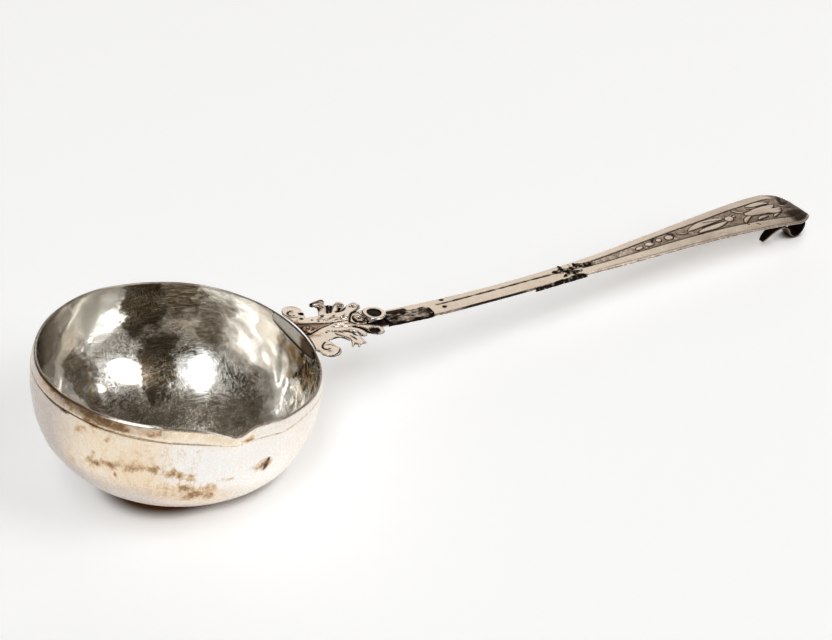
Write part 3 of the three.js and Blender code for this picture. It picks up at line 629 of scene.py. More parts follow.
def outside_marks(angle, depth):
    """Yellowed and stained on the left of the lip, with a painted reflection of the lit floor on its right
    where film and yellowing are cleared, a painted reflection of the bowl's shadow low down, and a dirty
    incised line.
    """
    line = 0.95 * bell(depth - line_depth(angle), 0.26) * line_darkness(angle)
    angle = np.where(angle > 90, angle - 360, angle)
    belt = window(angle, -149, -110, 3) * bell(depth - np.interp(angle, BELT[:, 0], BELT[:, 1]), 1.5)
    stain = 0.8 * belt * (0.75 + 0.5 * lump_noise(angle, depth, 5, 3.0))
    for place, (round_by, down_by, *waves) in zip(STAINED_AREAS, STAINED_WAVES):
        stain += area(angle, depth, *place) * patchy(angle * round_by, depth * down_by, *waves)
    stain += area(angle, depth, (-119, -20, 4), (0.0, 3.6, 0.4), 0.14)
    stain += sum(blot(angle, depth, *row) for row in OUTSIDE_STAINS)
    dark = sum(blot(angle, depth, *row) for row in OUTSIDE_SPOTS)
    film = sum(area(angle, depth, *row) for row in FILMED_AREAS)
    film += 0.95 * (1 - smoothstep(-176, -150, angle)) * smoothstep(-262, -200, angle)
    # Painted reflection of the bowl's own shadow on the floor: a grey-brown band low on the outside, laid on
    # as film and stain; the yellowing is weaker there too.
    shade = window(angle, -134, -74, 9) * bell(depth - 34, 3.2)
    film += 1.2 * shade
    stain += 0.5 * shade
    # Painted reflection of the lit floor: on the right of the lip the film and the yellowing are cleared.
    painted_floor_reflection = window(angle, -117, -64, 7) * window(depth, 4.6, 18 + 0.16 * (angle + 117), 3.5)
    film *= 1 - 0.9 * painted_floor_reflection
    warm = 0.95 * window(angle, -182, -88, 9) * (1 - painted_floor_reflection) * (1 - 0.5 * window(depth, 28, 37, 3))
    warm += 0.5 * window(angle, -88, -20, 9) * smoothstep(34, 40, depth) + 0.3 * window(angle, -100, -20, 9)
    stain = np.maximum(np.clip(stain, 0, 1), line)
    return {"stain": stain, "dark": dark, "film": film, "warm": warm * (1 - 0.8 * painted_floor_reflection)}


def line_darkness(angle):
    """The incised line holds more dirt on the left, and shines on the right."""
    return np.interp(angle, [-180, -150, -110, -95, -60, -30, 0, 180],
                     [0.95, 0.9, 0.7, 0.5, 0.55, 0.5, 0.6, 0.9])


MARKS = {OUTSIDE: outside_marks, RIM: rim_marks, INSIDE: inside_marks}


# The inner plate: where it starts and ends in degrees, its height and how much less it is at the ends.
PLATE_ANGLES = (-13.5, 20.5)
PLATE_HEIGHT = 5.2
PLATE_TAPER = 2.6
PLATE_THICKNESS = 0.75
PLATE_TOP = 0.35
# How far the plate sits in the wall's surface.
PLATE_SINK = 0.12


def inner_plate():
    """Crescent soldered inside the rim, behind the bracket."""
    first, last = PLATE_ANGLES
    angles = np.linspace(first, last, 60)
    rows = []
    for angle in angles:
        share = (2 * angle - first - last) / (last - first)
        depths = np.linspace(PLATE_TOP, PLATE_TOP + PLATE_HEIGHT - PLATE_TAPER * share**2, 14)
        back = [(inner_radius(d) + wall_shift(angle, d) - PLATE_SINK, d) for d in depths]
        face = [(r - PLATE_THICKNESS, d) for r, d in back]
        round_low = [(back[-1][0] - 0.2, depths[-1] + 0.18), (face[-1][0] + 0.2, depths[-1] + 0.18)]
        radius, depth = np.array(back + round_low + face[::-1] + [(face[0][0] + 0.3, face[0][1] - 0.2)]).T
        turn = math.radians(angle)
        rows.append(from_rim(radius * math.cos(turn), radius * math.sin(turn), -depth))
    points = np.array(rows)
    shaded_end = 1 - smoothstep(-4, 2, angles)[:, None]
    dark = np.zeros(points.shape[:2])
    dark[:, 12:19] = 1.0
    stain = np.zeros(points.shape[:2])
    stain[:, 18:22] = 0.3
    layers = {"dark": np.maximum(dark, 0.45 * shaded_end), "stain": np.maximum(stain, 1.1 * shaded_end)}
    add_mesh("inner_plate_looks", points, capped_faces(*points.shape[:2]), PLATE,
             ["inner_plate"],
             layers)


# Bracket.

# Strokes of the casting: corners in the bracket's frame, radius at the start and the end, height of
# the back.
STROKES = [
    ([(44.6, 0.2), (55.5, 0.4)], 7.6, 7.2, 0.25),
    ([(55, 0.4), (63.5, 0.8)], 6.6, 4.4, 0.25),
    ([(62, 0.8), (71.5, 2.2)], 4.4, 4, 0),
    ([(45, 7), (46.2, 12.6)], 3.6, 3.8, 0.2),
    ([(45.3, -7), (47.2, -12.4)], 3.8, 4, 0.2),
    ([(55.2, 5.5), (56.6, 9.5), (57, 13.6)], 2.5, 1.9, 0.4),
    ([(54.6, 14), (58.4, 14.9)], 1.2, 1.3, 0.75),
    ([(59.2, 5.6), (61.6, 9.4), (63.8, 11.4)], 2.2, 1.7, 0.4),
    ([(62.5, 4.4), (66, 7.6), (68.3, 8.8)], 2.4, 2.2, 0.5),
    ([(56, -4.5), (58.4, -8.6), (58.6, -11.2)], 2.8, 2.3, 0.55),
    ([(56.8, -11), (55.4, -13.2)], 0.8, 0.5, 0.3),
    ([(58.2, -11.6), (57.4, -14)], 0.8, 0.5, 0.3),
    ([(59.6, -10.8), (60.4, -12.9)], 0.8, 0.5, 0.3),
    ([(60, -2.6), (62.4, -5.2), (62.6, -7.6)], 2.4, 1.5, 0.4),
    ([(63.6, -3), (66.6, -6), (68.2, -7.2)], 2.4, 2.8, 0.5),
    ([(58, 7.5), (59.8, 11.2)], 1.5, 1.3, 0),
    ([(61.2, 6.8), (63.2, 8.6)], 1.2, 0.9, 0),
]
# Dark cut lines: corners, width at the start and the end, depth.
CUTS = [
    ([(43.2, 5.2), (46, 4.3), (50, 3.1), (53, 2.2), (57, 1.6), (61.5, 1.4)], 0.62, 0.34, 0.4),
    ([(43.4, -1.2), (45.2, -1.9), (47.5, -1.3), (50.5, 0), (53.5, 0.7), (56, 1.4)], 0.62, 0.3, 0.4),
    ([(43.7, 3.2), (43.4, 0.8), (43.8, -1.4)], 0.6, 0.4, 0.4),
    ([(55.3, -3.8), (57.4, -4.5), (59.2, -5.8), (60.4, -7.4)], 0.35, 1, 0.6),
    ([(61.6, -2.8), (62.8, -3.9), (64, -5.6), (64.9, -7.6), (65.7, -9.6)], 0.75, 0.75, 0.75),
    ([(63.6, 3.6), (65.4, 5), (68.6, 6.1)], 0.4, 0.5, 0.5),
    ([(68.6, 6.1), (70, 7.2)], 0.35, 0.3, 0.4),
    ([(61.6, 0.2), (63.2, -1.6), (66.2, -3), (67.9, -1.6), (68.2, 0.8)], 0.5, 0.55, 0.45),
    ([(61.6, 0.2), (63.4, 3), (65.4, 4.9), (67.6, 4.2), (68.2, 2.4)], 0.45, 0.5, 0.45),
    ([(46.2, 12.9), (44.8, 12.8), (43.9, 11.6), (44.3, 10.4), (45.6, 10)], 0.42, 0.36, 0.4),
    ([(47.6, -8.2), (46, -9.6), (45.4, -11), (46, -12.2), (47.4, -12.1)], 0.36, 0.42, 0.4),
    ([(43.2, -13.4), (44.6, -15.4), (46.6, -16), (48.8, -15.2), (50.6, -13.4)], 0.22, 0.3, 0.25),
    ([(59.2, 12.6), (58.9, 10.6), (57.2, 7.8)], 1.5, 0.6, 0.9),
    ([(61, 11.9), (59.6, 10), (58.2, 7.8)], 1.1, 0.5, 0.8),
    ([(65, 10.2), (63.4, 7.8), (61.4, 7.4), (60.4, 7.3)], 0.5, 0.6, 0.7),
    ([(62.6, 9), (61.4, 7.6)], 0.9, 0.6, 0.8),
    ([(53.9, 13.4), (55, 15.3), (57.6, 15.9), (59.4, 14.8)], 0.9, 1.3, 0.35),
    ([(68, 10.6), (70.4, 9.9), (71, 9.2)], 0.5, 0.8, 0.3),
    ([(54.7, 12.6), (55.6, 11.6), (55.1, 10)], 0.4, 0.35, 0.4),
    ([(57, 12), (57.2, 11)], 0.3, 0.3, 0.3),
    ([(61.7, -8.4), (62, -9.4), (62.9, -9.2)], 0.3, 0.3, 0.3),
]
# Small pits and dished hollows: place, radius, depth.
PITS = [
    ((54.4, 6.7), 0.5, 0.22), ((51.8, 4.2), 0.4, 0.18), ((47, 7.4), 0.6, 0.2), ((51, -3), 0.4, 0.15),
    ((69.2, -4.1), 0.35, 0.2), ((50, 5.5), 0.35, 0.15), ((48.4, 10.3), 0.9, 0.7), ((67.2, -7.4), 1.7, 0.75),
    ((59.8, -7.2), 0.8, 0.6), ((45, -1.9), 0.8, 0.3), ((66.8, -9.9), 0.6, 0.5), ((72.4, 2), 3.8, 1.4)]
# Fine flutes, which are shallow and pale, with painted shade along them.
FLUTES = [
    ([(50.5, 4.6), (53.6, 5.6), (56.2, 8.2)], 0.35), ([(52.5, 3.4), (57, 4.4), (60.2, 7)], 0.35),
    ([(55.5, 2.6), (60, 3.2), (64.2, 6.2)], 0.35), ([(57.5, 2.2), (61.5, 2.6), (63, 3.4)], 0.3),
    ([(50.5, -2.2), (54, -3.4), (56.6, -6.4)], 0.35), ([(53, -0.6), (58, -1.6), (61.6, -3.6)], 0.35),
    ([(55, 0.2), (60, -0.4), (62, -1.6)], 0.3), ([(57.2, -7), (58.2, -9.6), (58, -11.6)], 0.3),
    ([(65.8, 8), (67.6, 9.4)], 0.3), ([(66.8, 7.4), (69, 8.8)], 0.3), ([(61.8, 8.8), (63.6, 11)], 0.25),
]
# How far a raised point of the casting leans back towards the lip side, per mm of height.
LEAN = (0.5, 0.8)
# Spacing of the casting's grid, in mm.
BRACKET_STEP = 0.1
# Radius of the bowl's wall where the bracket meets it.
MEETING_RADIUS = 43.9
# The round gap on the near side: its middle, its radius and how much less it counts along y.
GAP_MIDDLE = (52.8, -9.8)
GAP_RADIUS = 2.6
GAP_SQUEEZE = 0.95
# The spirals on the two sides: middle, and the way that each winds.
SPIRALS = [((46.2, 12.6), 1), ((47.2, -12.4), -1)]
# The recess next to the bowl, the rosette in it and the leaf's tip beside it.
RECESS_START = 43.6
ROSETTE = (46.0, 1.3)
LEAF_TIP = [(48.2, 1.4), (50.6, 1.5)]
# A cut is drawn narrower than its stated width, because its sides slope; its haze is wider.
CUT_SHARE = 0.62
HAZE_SHARE = 2.3
FLUTE_DEPTH = 0.28
# Stains of the casting: place, size and strength.
BRACKET_STAINS = [
    ((45, -3.2), (3, 1.6), 0.5), ((44.6, 6), (2.4, 2.2), 0.45), ((48.6, -3.4), (1.4, 1.2), 0.35),
    ((67.4, -7.2), (2, 2.2), 0.6)]


def rim_edge_x(y):
    """Where the bracket meets the bowl's wall."""
    return np.sqrt(np.maximum(MEETING_RADIUS**2 - y**2, 0)) + 0.1


def gap_distance(x, y):
    """Distance from the middle of the round gap."""
    return np.hypot(x - GAP_MIDDLE[0], (y - GAP_MIDDLE[1]) * GAP_SQUEEZE)


def rounded(inside, edge):
    """Zero on an outline and one past its edge, along a quarter of a circle."""
    return np.sqrt(np.clip(1 - (1 - np.clip(inside / edge, 0, 1)) ** 2, 0, 1))


def bracket_outline(x, y):
    """How far each place lies inside the outline, and how high the strokes' backs stand there."""
    inside = np.full(x.shape, -5.0)
    ridge = np.zeros(x.shape)
    for line, start, end, back in STROKES:
        d, share = stroke_distance(x, y, line)
        radius = start + (end - start) * share
        inside = smooth_max(inside, radius - d, 0.5)
        ridge = np.maximum(ridge, back * np.sqrt(np.clip(1 - (d / radius) ** 2, 0, 1)))
    inside = np.minimum(inside, x - rim_edge_x(y))
    return -smooth_max(-inside, GAP_RADIUS - gap_distance(x, y), 0.4), ridge


def spirals(x, y):
    """Height of the coils on the two sides, and of the round middle in each."""
    height = np.zeros(x.shape)
    for (cx, cy), side in SPIRALS:
        r = np.hypot(x - cx, y - cy)
        turn = np.degrees(np.arctan2((y - cy) * side, x - cx))
        coil = 3.15 + 0.5 * smoothstep(-180, 180, turn)
        height = np.maximum.reduce([height, 0.2 * bell(r - coil, 0.75), 0.25 * bell(r, 1.3)])
    return height


def bracket_cuts(x, y):
    """Depth of all that is cut in, its darkness, the haze beside the cuts and the painted shade of the
    flutes.
    """
    deep, dark, haze, shade = (np.zeros(x.shape) for _ in range(4))
    for line, start, end, depth in CUTS:
        d, share = stroke_distance(x, y, line)
        width = (start + (end - start) * share) * CUT_SHARE
        cut = bell(d, width)
        deep += depth * cut
        dark = np.maximum(dark, cut)
        haze = np.maximum(haze, bell(d, HAZE_SHARE * width))
    for (cx, cy), radius, depth in PITS:
        cut = bell(np.hypot(x - cx, y - cy), radius, 4)
        deep += depth * cut
        dark = np.maximum(dark, np.clip(1.8 * cut, 0, 1))
    # The flutes are darkened as painted shade.
    for line, width in FLUTES:
        d, share = stroke_distance(x, y, line)
        cut = bell(d, width) * np.sin(math.pi * np.clip(share, 0.04, 0.96))
        deep += FLUTE_DEPTH * cut
        dark = np.maximum(dark, 0.42 * cut**1.6)
        shade = np.maximum(shade, cut)
    return deep, dark, haze, shade


def rosette(x, y):
    """The recess next to the bowl: its share of each place, and the height and darkness of its rosette."""
    start = x - RECESS_START
    within = np.minimum(np.minimum(start, 4.8 - 0.3 * start - y), y + 1.6 - 0.27 * start)
    recess = smoothstep(0, 0.5, within)
    px, py = x - ROSETTE[0], y - ROSETTE[1]
    radius = np.hypot(px, py)
    petals = 0.5 * bell(radius - 1.15, 0.55) * (1 + 0.25 * np.cos(6 * np.arctan2(py, px)))
    dark = np.maximum(0.6 * (np.abs(radius - 2) < 0.35), 0.7 * bell(radius, 0.5))
    return recess, (petals - 0.3) * recess, dark * recess


def bracket_marks(x, y, inside, recess):
    """Stain and darkness beside those of the cuts, with painted shade in the curled tip, along the round
    gap's edge and on the outline's near side.
    """
    # Painted shade, brown and dark, in the curl of the far leaf's tip.
    painted_curl_shade = blot(x, y, (56.4, 14.9), (2, 1.3))
    stain = sum(blot(x, y, at, size, strength) for at, size, strength in BRACKET_STAINS)
    stain = stain + 0.15 * patchy(x, y, 4.5, 9.0, 0, 1) * smoothstep(50, 56, x)
    stain = stain + 0.6 * recess + 0.9 * painted_curl_shade
    # Painted shade along the round gap's edge, and on the near side of the outline, which is far darker than
    # its far side.
    painted_gap_shade = bell(gap_distance(x, y) - 2.9, 0.35) * smoothstep(-10.5, -9, y)
    painted_near_side_shade = 0.15 + 0.85 * smoothstep(-0.3, 0.5, np.gradient(inside, BRACKET_STEP, axis=0))
    outline = (1 - smoothstep(0, 0.35, inside)) * smoothstep(43.6, 44.4, x)
    dark = np.maximum.reduce([0.5 * painted_curl_shade, 0.9 * painted_gap_shade, 0.95 * outline * painted_near_side_shade])
    return stain, dark


def leaf_lift(x, y):
    """How far the ends of the leaves stand up from the casting's bed."""
    side = np.abs(y)
    outer_leaves = 0.9 * smoothstep(9, 14.5, side) * smoothstep(52, 55, x) * (1 - smoothstep(64, 67, x))
    return outer_leaves + 0.4 * smoothstep(7, 10, side) * smoothstep(64, 68, x)


def bracket():
    """The casting between bowl and stem: leaves, spirals and flutes on one plate."""
    x, y = np.meshgrid(np.arange(41.8, 76.2, BRACKET_STEP), np.arange(-17.6, 17.8, BRACKET_STEP))
    inside, ridge = bracket_outline(x, y)
    deep, dark, haze, shade = bracket_cuts(x, y)
    recess, rosette_height, rosette_dark = rosette(x, y)
    tip, share = segment_distance(x, y, LEAF_TIP)
    height = 0.75 * rounded(inside, 0.5) + ridge + spirals(x, y) - deep + rosette_height
    height = np.maximum(height + 0.45 * bell(tip, 0.9 - 0.6 * share), 0.12)
    stain, marks = bracket_marks(x, y, inside, recess)
    dark = np.clip(np.maximum.reduce([dark, rosette_dark, marks]), 0, 1)
    # The flutes' painted shade is laid on as stain.
    stain = np.clip(stain + 0.45 * haze + 0.32 * shade, 0, 1)
    lift = leaf_lift(x, y)

    def place(px, py, h):
        level = h + lift
        return from_bracket(px - LEAN[0] * level, py - LEAN[1] * level, level - 0.35)

    slab("bracket_looks", x, y, inside, height - 0.35, np.full(x.shape, -0.45), place, CAST,
         ["bracket"], {"dark": dark, "stain": stain})


# Profile of the bud: share of its radius, and height. The first rows are the dimple.
BUD_PROFILE = [(0, 0.52), (0.18, 0.55), (0.3, 0.78), (0.45, 1), (0.6, 1.02), (0.75, 0.9), (0.88, 0.66),
               (0.97, 0.3), (1, -0.1), (0.95, -0.5)]
BUD_MIDDLE = (65.6, 1.1)
BUD_RADII = (2.0, 2.6)
BUD_SIDES = 48
# The eyelet ring: middle, radius, half width and half height of its section, and level of its middle.
EYELET_MIDDLE = (71.9, 1.4)
EYELET_RADIUS = 3.2
EYELET_SECTION = (1.05, 0.7)
EYELET_LEVEL = 1.1
EYELET_SIDES = 96


def around(count):
    """Evenly spaced angles of one full turn."""
    return np.linspace(0, 2 * math.pi, count, endpoint=False)


def squared_off(value, power):
    """A sine or cosine with its sign kept, raised to a power below one, so that a round turns boxy."""
    return math.copysign(abs(value) ** power, value)


def bud():
    """Dimpled bud at the bracket's middle, which is the rivet's head."""
    turns = around(BUD_SIDES)
    diamond = 1 + 0.1 * np.cos(2 * turns + 0.6)
    rows = []
    for radius, height in BUD_PROFILE:
        level = height + 0.4
        px = BUD_MIDDLE[0] + BUD_RADII[0] * radius * np.cos(turns) * diamond - LEAN[0] * level
        py = BUD_MIDDLE[1] + BUD_RADII[1] * radius * np.sin(turns) * diamond - LEAN[1] * level
        rows.append(from_bracket(px, py, np.full(BUD_SIDES, height)))
    base = range((len(rows) - 1) * BUD_SIDES, len(rows) * BUD_SIDES)
    faces = [face[::-1] for face in ring_faces(len(rows), BUD_SIDES)] + [tuple(base)]
    radii = np.repeat([radius for radius, _ in BUD_PROFILE], BUD_SIDES)
    dark = np.where(radii < 0.25, 0.8, 0) + np.where(radii > 0.8, 0.85, 0)
    add_mesh("bud_looks", rows, faces, CAST, ["bracket_rivet"],
             {"dark": dark, "stain": np.where(radii > 0.5, 0.7, 0.2)})


def eyelet():
    """Round ring on the bracket's end, with a dark hole; the ring's inner side is painted dark as the hole's
    shade.
    """
    turns = around(EYELET_SIDES)
    sections = around(20)
    wear = 1 + 0.02 * np.sin(3 * turns + 1)
    rows = []
    for s in sections:
        radius = EYELET_RADIUS + EYELET_SECTION[0] * squared_off(math.cos(s), 0.8)
        height = EYELET_LEVEL + EYELET_SECTION[1] * squared_off(math.sin(s), 0.8)
        px = EYELET_MIDDLE[0] + radius * wear * np.cos(turns) - LEAN[0] * height
        py = EYELET_MIDDLE[1] + radius * wear * np.sin(turns) - LEAN[1] * height
        rows.append(from_bracket(px, py, np.full(EYELET_SIDES, height)))
    # Painted shade: the ring's inner side, towards the hole, is dark.
    painted_hole_shade = np.repeat(np.cos(sections) < -0.55, EYELET_SIDES)
    add_mesh("eyelet_looks", rows, ring_faces(len(rows), EYELET_SIDES, closed=True), CAST,
             ["eyelet_ring"], {"dark": 0.8 * painted_hole_shade, "stain": np.zeros(painted_hole_shade.size)})


# Handle.

# Top line of the handle: x, height at the edge, half width.
HANDLE_LINE = np.array([
    (36.5, 34.6, 4), (50, 32.9, 4), (66, 30.7, 4), (78, 28.7, 4.2), (90, 27, 4.15), (102, 25.7, 3.95),
    (114, 24.5, 3.95), (126, 23.5, 4.05), (138, 22.6, 4.25), (150, 21.75, 4.5), (162, 20.9, 5.2),
    (174, 20.35, 6.1), (186, 19.95, 7), (198, 19.45, 7.8), (210, 18.95, 8.75), (222, 18.3, 9.8),
    (234, 17.3, 11), (242, 16.45, 11.7), (248, 15.6, 12.2), (251.5, 15.05, 12.5), (253.7, 14.6, 12.2),
    (255.9, 14.5, 11.3), (258, 14.2, 10.1), (260, 13.6, 8.7), (261.9, 12.55, 7.1), (263.6, 11.3, 5.5),
    (265, 9.95, 4.3), (266.4, 8.4, 3.4)])
# How high the top's middle stands where the handle is widest.
CROWN = 0.8
# Radius of a plate that bends over the handle's edge.
BEND = 0.6
# Points of the handle's back: share of the half width, and how much thinner the worn edge is there.
LOW_SHARES = np.array([1.0, 0.985, 0.94, 0.5, 0, -0.5, -0.94, -0.985, -1.0])
WORN_EDGE = np.array([0.7, 0.4, 0.15, 0, 0, 0, 0.15, 0.4, 0.7])


def smooth_handle_line():
    """The handle's table, smoothed so that its curve shows no corners."""
    x = np.arange(36.5, 266.41, 0.1)
    z = np.interp(x, HANDLE_LINE[:, 0], HANDLE_LINE[:, 1])
    half = np.interp(x, HANDLE_LINE[:, 0], HANDLE_LINE[:, 2])
    for values, reach in ((z, 45), (half, 30)):
        kernel = np.hanning(2 * reach + 1)
        kernel /= kernel.sum()
        before = 2 * values[0] - values[reach:0:-1]
        after = 2 * values[-1] - values[-2:-reach - 2:-1]
        padded = np.concatenate([before, values, after])
        values[:] = np.convolve(padded, kernel, "valid")
    return x, z, half


LINE_X, LINE_Z, LINE_HALF = smooth_handle_line()
LINE_SLOPE = np.gradient(LINE_Z, LINE_X)
# Edges of the engraved panel: x, far side and near side.
PANEL_EDGES = np.array([
    (150, 1.3, -0.5), (155, 1.7, -0.7), (160, 2, -0.9), (167, 2.4, -1.1), (175, 2.8, -1.35),
    (185, 3.4, -1.9), (195, 4, -2.3), (205, 4.4, -2.9), (215, 4.9, -3.7), (225, 5.8, -4.6),
    (230, 6.2, -5.1), (235, 6.5, -5.7), (240, 6.9, -6.3), (245, 7.4, -6.9), (250, 7.8, -7.6),
    (254, 7.6, -7.8), (258, 6, -7), (262, 4, -5)])
# Raised motifs of the panel: corners of a spine, radius at the start, middle and end.
MOTIFS = [
    ([(177.6, 0.2), (179.6, 0.6)], 0.7, 0.9, 0.8), ([(183.2, 0.8), (184.6, 0.8)], 1.2, 1.3, 1.2),
    ([(188.6, 1.2), (189.6, 1.6)], 1, 1.1, 0.5), ([(193.2, 0.8), (194.4, 1)], 1.4, 1.6, 1.3),
    ([(198.6, 1.6), (200.4, 0.6), (202.4, 0.2)], 0.35, 0.5, 0.3),
    ([(203.6, 1), (207, 1.9), (212, 2.6), (217.5, 2.6), (221.4, 1.9)], 0.3, 1.75, 0.5),
    ([(207, -1.9), (210, -1.5), (214.5, -1.5), (218.6, -1.2), (222, -0.6)], 0.4, 1.35, 0.35),
    ([(223.8, 0.3), (225, 0.9)], 1.6, 1.8, 1.5), ([(227.2, 1), (227.6, 1.6)], 0.5, 0.6, 0.5),
    ([(230, 5.2), (230.6, 3.8), (232.2, 2.2), (234, 1.4)], 0.5, 0.6, 0.4),
    ([(229, -4.2), (230.2, -3), (232.4, -1.9), (233.8, -1.6)], 0.5, 0.95, 0.4),
    ([(233.4, 0.2), (238, 0.6), (242.5, 0.9), (247, 1.6), (249.6, 2.4)], 1, 2.1, 0.5),
    ([(234, -0.6), (240, -1), (245.6, -1), (250.4, -0.6)], 0.6, 1.3, 0.8),
    ([(237.8, 5.4), (241, 5.3), (245, 5.5), (248.4, 4.8)], 0.5, 1.5, 0.7),
    ([(243.6, -2), (247, -2.6), (249.6, -2.2)], 0.5, 1, 0.6),
    ([(235.8, -4.6), (238, -3.9), (240.6, -3.9)], 0.5, 0.9, 0.5),
    ([(243.6, -5.2), (245.6, -4.2), (247.6, -3.6)], 0.4, 0.7, 0.4),
    ([(252.2, 1), (254.4, 0), (255.6, -1)], 0.4, 0.8, 0.4),
]
# Plain engraved lines: corners and width.
ENGRAVED = [
    ([(212.6, 3), (216.6, 2.2), (220.6, 1.4)], 0.22),
    ([(236, 3.4), (239, 3), (243, 3.3), (247.4, 3.6)], 0.3), ([(233, 1.7), (236, 1.9), (238.6, 2.9)], 0.3),
    ([(241, -2.6), (244.6, -3.4), (249, -4)], 0.3), ([(185.6, 1.2), (186.6, 2.6), (188, 3.4)], 0.8),
    ([(195, 3.4), (196.4, 2.4), (196, 1.2)], 0.9), ([(205.6, -2.6), (207.6, -3.2)], 0.4),
    ([(228.6, -4.6), (229, -6.2)], 0.4), ([(232.6, -6.8), (233.4, -7.8)], 0.35),
    ([(248.2, 5.6), (250.2, 5.2)], 0.5), ([(210, 0.2), (216, 0.5), (221.6, 0.2)], 0.22)]
# Dark spots on the near edge: place and half length. Pits of the stem: place and radius.
NEAR_SPOTS = [((157, -5.7), 0.9), ((160, -5.7), 1.3), ((168.4, -6.2), 1.2), ((173.2, -6.3), 0.6)]
STEM_PITS = [((90.6, 3.1), 0.75), ((89.3, -1.2), 0.75)]
# Corroded ridges at the tip: corners and width.
TIP_KNOTS = [([(254.2, 1.6), (255.4, 4.4), (258.4, 8.8)], 1.1), ([(254.6, 2.2), (257.4, 2.8)], 1.3)]
# How stained the panel's ground is along the handle: x and strength.
GROUND_STAIN = np.array([
    (150, 0.7), (156, 0.36), (175, 0.38), (186, 0.6), (200, 0.48), (222, 0.6), (228, 0.66), (240, 0.55),
    (252, 0.66)])


def centre_line(x, v):
    """The worn line cut along the stem's middle."""
    centre = np.interp(x, [66, 86, 96, 110, 126, 140, 150], [1.0, 0.9, 1.0, 1.1, 1.0, 0.6, 0.5])
    worn = 0.72 + 0.28 * np.sin(x * 0.9) * np.sin(x * 0.37 + 1)
    return bell(v - centre, 0.5) * smoothstep(86, 88, x) * (1 - smoothstep(148, 151, x)) * worn


def engraved_panel(x, v):
    """Height, stain and darkness of the panel: a border line, a hatched ground and raised motifs."""
    high, low = (np.interp(x, PANEL_EDGES[:, 0], PANEL_EDGES[:, side]) for side in (1, 2))
    within = np.minimum(high - v, v - low)
    begun = smoothstep(149, 152, x)
    border = bell(within, 0.3) * begun * (1 - smoothstep(250, 256, x))
    ground = smoothstep(0, 0.3, within) * begun
    motif = np.full(x.shape, -3.0)
    for spine, first, middle, last in MOTIFS:
        d, share = stroke_distance(x, v, spine)
        swell = np.clip(np.sin(share * math.pi), 0, 1) ** 0.7
        radius = np.where(share < 0.5, first, last) * (1 - swell) + middle * swell
        motif = np.maximum(motif, radius - d)
    raised = smoothstep(-0.05, 0.25, motif)
    outline = bell(motif + 0.14, 0.24) * ground
    hatch = 0.5 + 0.5 * np.sin((x * 0.8 + v * 1.2) * 7.5)
    open_ground = ground * (1 - raised)
    height = 0.06 * raised * ground * np.clip(motif, 0, 1)
    height = height - 0.16 * open_ground * (0.7 + 0.3 * hatch) - 0.2 * border
    ground_stain = np.interp(x, GROUND_STAIN[:, 0], GROUND_STAIN[:, 1])
    stain = np.maximum(open_ground * ground_stain * (0.8 + 0.4 * hatch), outline)
    dark = np.maximum(0.8 * border, 0.85 * outline)
    for corners, width in ENGRAVED:
        d, _ = stroke_distance(x, v, corners)
        cut = bell(d, width)
        height = height - 0.1 * cut
        dark = np.maximum(dark, 0.8 * cut)
    return height, stain, dark


def tip_marks(x, v, half):
    """Stain and darkness of the oxide at the handle's tip."""
    tip = smoothstep(250, 256, x + 1.5 * lump_noise(x, v, 7, 1.0) - 0.1 * np.abs(v + 3))
    low_tip = smoothstep(247, 252, x) * smoothstep(1.5, 4.5, -v) * smoothstep(0.9, 1.7, half + v)
    oxide = np.clip(np.maximum(0.5 * tip * (0.6 + 0.5 * lump_noise(x, v, 5, 4.0)), 0.85 * low_tip), 0, 1)
    for corners, width in TIP_KNOTS:
        d, _ = segment_distance(x, v, corners)
        oxide = np.maximum(oxide, bell(d, width))
    inner_part = smoothstep(0.5, 1.5, half - np.abs(v)) * (1 - smoothstep(262.5, 264.5, x))
    return 0.95 * np.clip(oxide + 0.75 * tip, 0, 1) * inner_part, 0.8 * oxide * inner_part


def handle_relief(x, v, half):
    """What engraving, wear and dirt add at each place of the top, with the dark solder and painted shade
    under the bracket: height, stain, darkness and film.
    """
    height, stain, dark = engraved_panel(x, v)
    line = centre_line(x, v)
    height = height - 0.15 * line
    dark = np.maximum(dark, 1.2 * line)
    for at, radius in NEAR_SPOTS:
        dark = np.maximum(dark, blot(x, v, at, (radius, 0.5), 0.95))
    for (cx, cv), radius in STEM_PITS:
        pit = bell(np.hypot((x - cx) * 0.8, v - cv), radius, 4)
        height = height - 0.2 * pit
        dark = np.maximum(dark, 1.2 * pit)
    # Dark under the bracket: the solder-coated strip, and painted shade where the bracket covers the handle.
    solder_and_shade_under_bracket = window(x, 57, 75.2, 1) * window(v, -6, 3, 0.5)
    tip_stain, tip_dark = tip_marks(x, v, half)
    gap = half - np.abs(v)
    beads = (0.5 + 0.5 * np.sin(x * 5)) * bell(gap - 0.4, 0.2) * smoothstep(150, 170, x)
    inner_line = bell(gap - 0.85, 0.16) * smoothstep(148, 160, x) * (v < 0)
    height = height + 0.02 * beads - 0.05 * inner_line
    edge_stain = 0.45 * bell(gap - 0.1, 0.35) * patchy(x, v, 9, 2.0, 0.3, 0.7)
    stain = np.maximum.reduce([stain, tip_stain, 0.5 * inner_line, edge_stain])
    dark = np.maximum.reduce([dark, solder_and_shade_under_bracket, tip_dark])
    film = smoothstep(165, 205, x) * (0.5 + 0.2 * lump_noise(x, v, 11, 7.0)) + 0.2 * smoothstep(232, 252, x)
    return height, np.clip(stain, 0, 1), np.clip(dark, 0, 1), np.clip(film, 0, 1)


def crown_height(half):
    """How high the top stands in its middle, above its edges."""
    return CROWN * np.clip((half - 4) / 8, 0.12, 1)


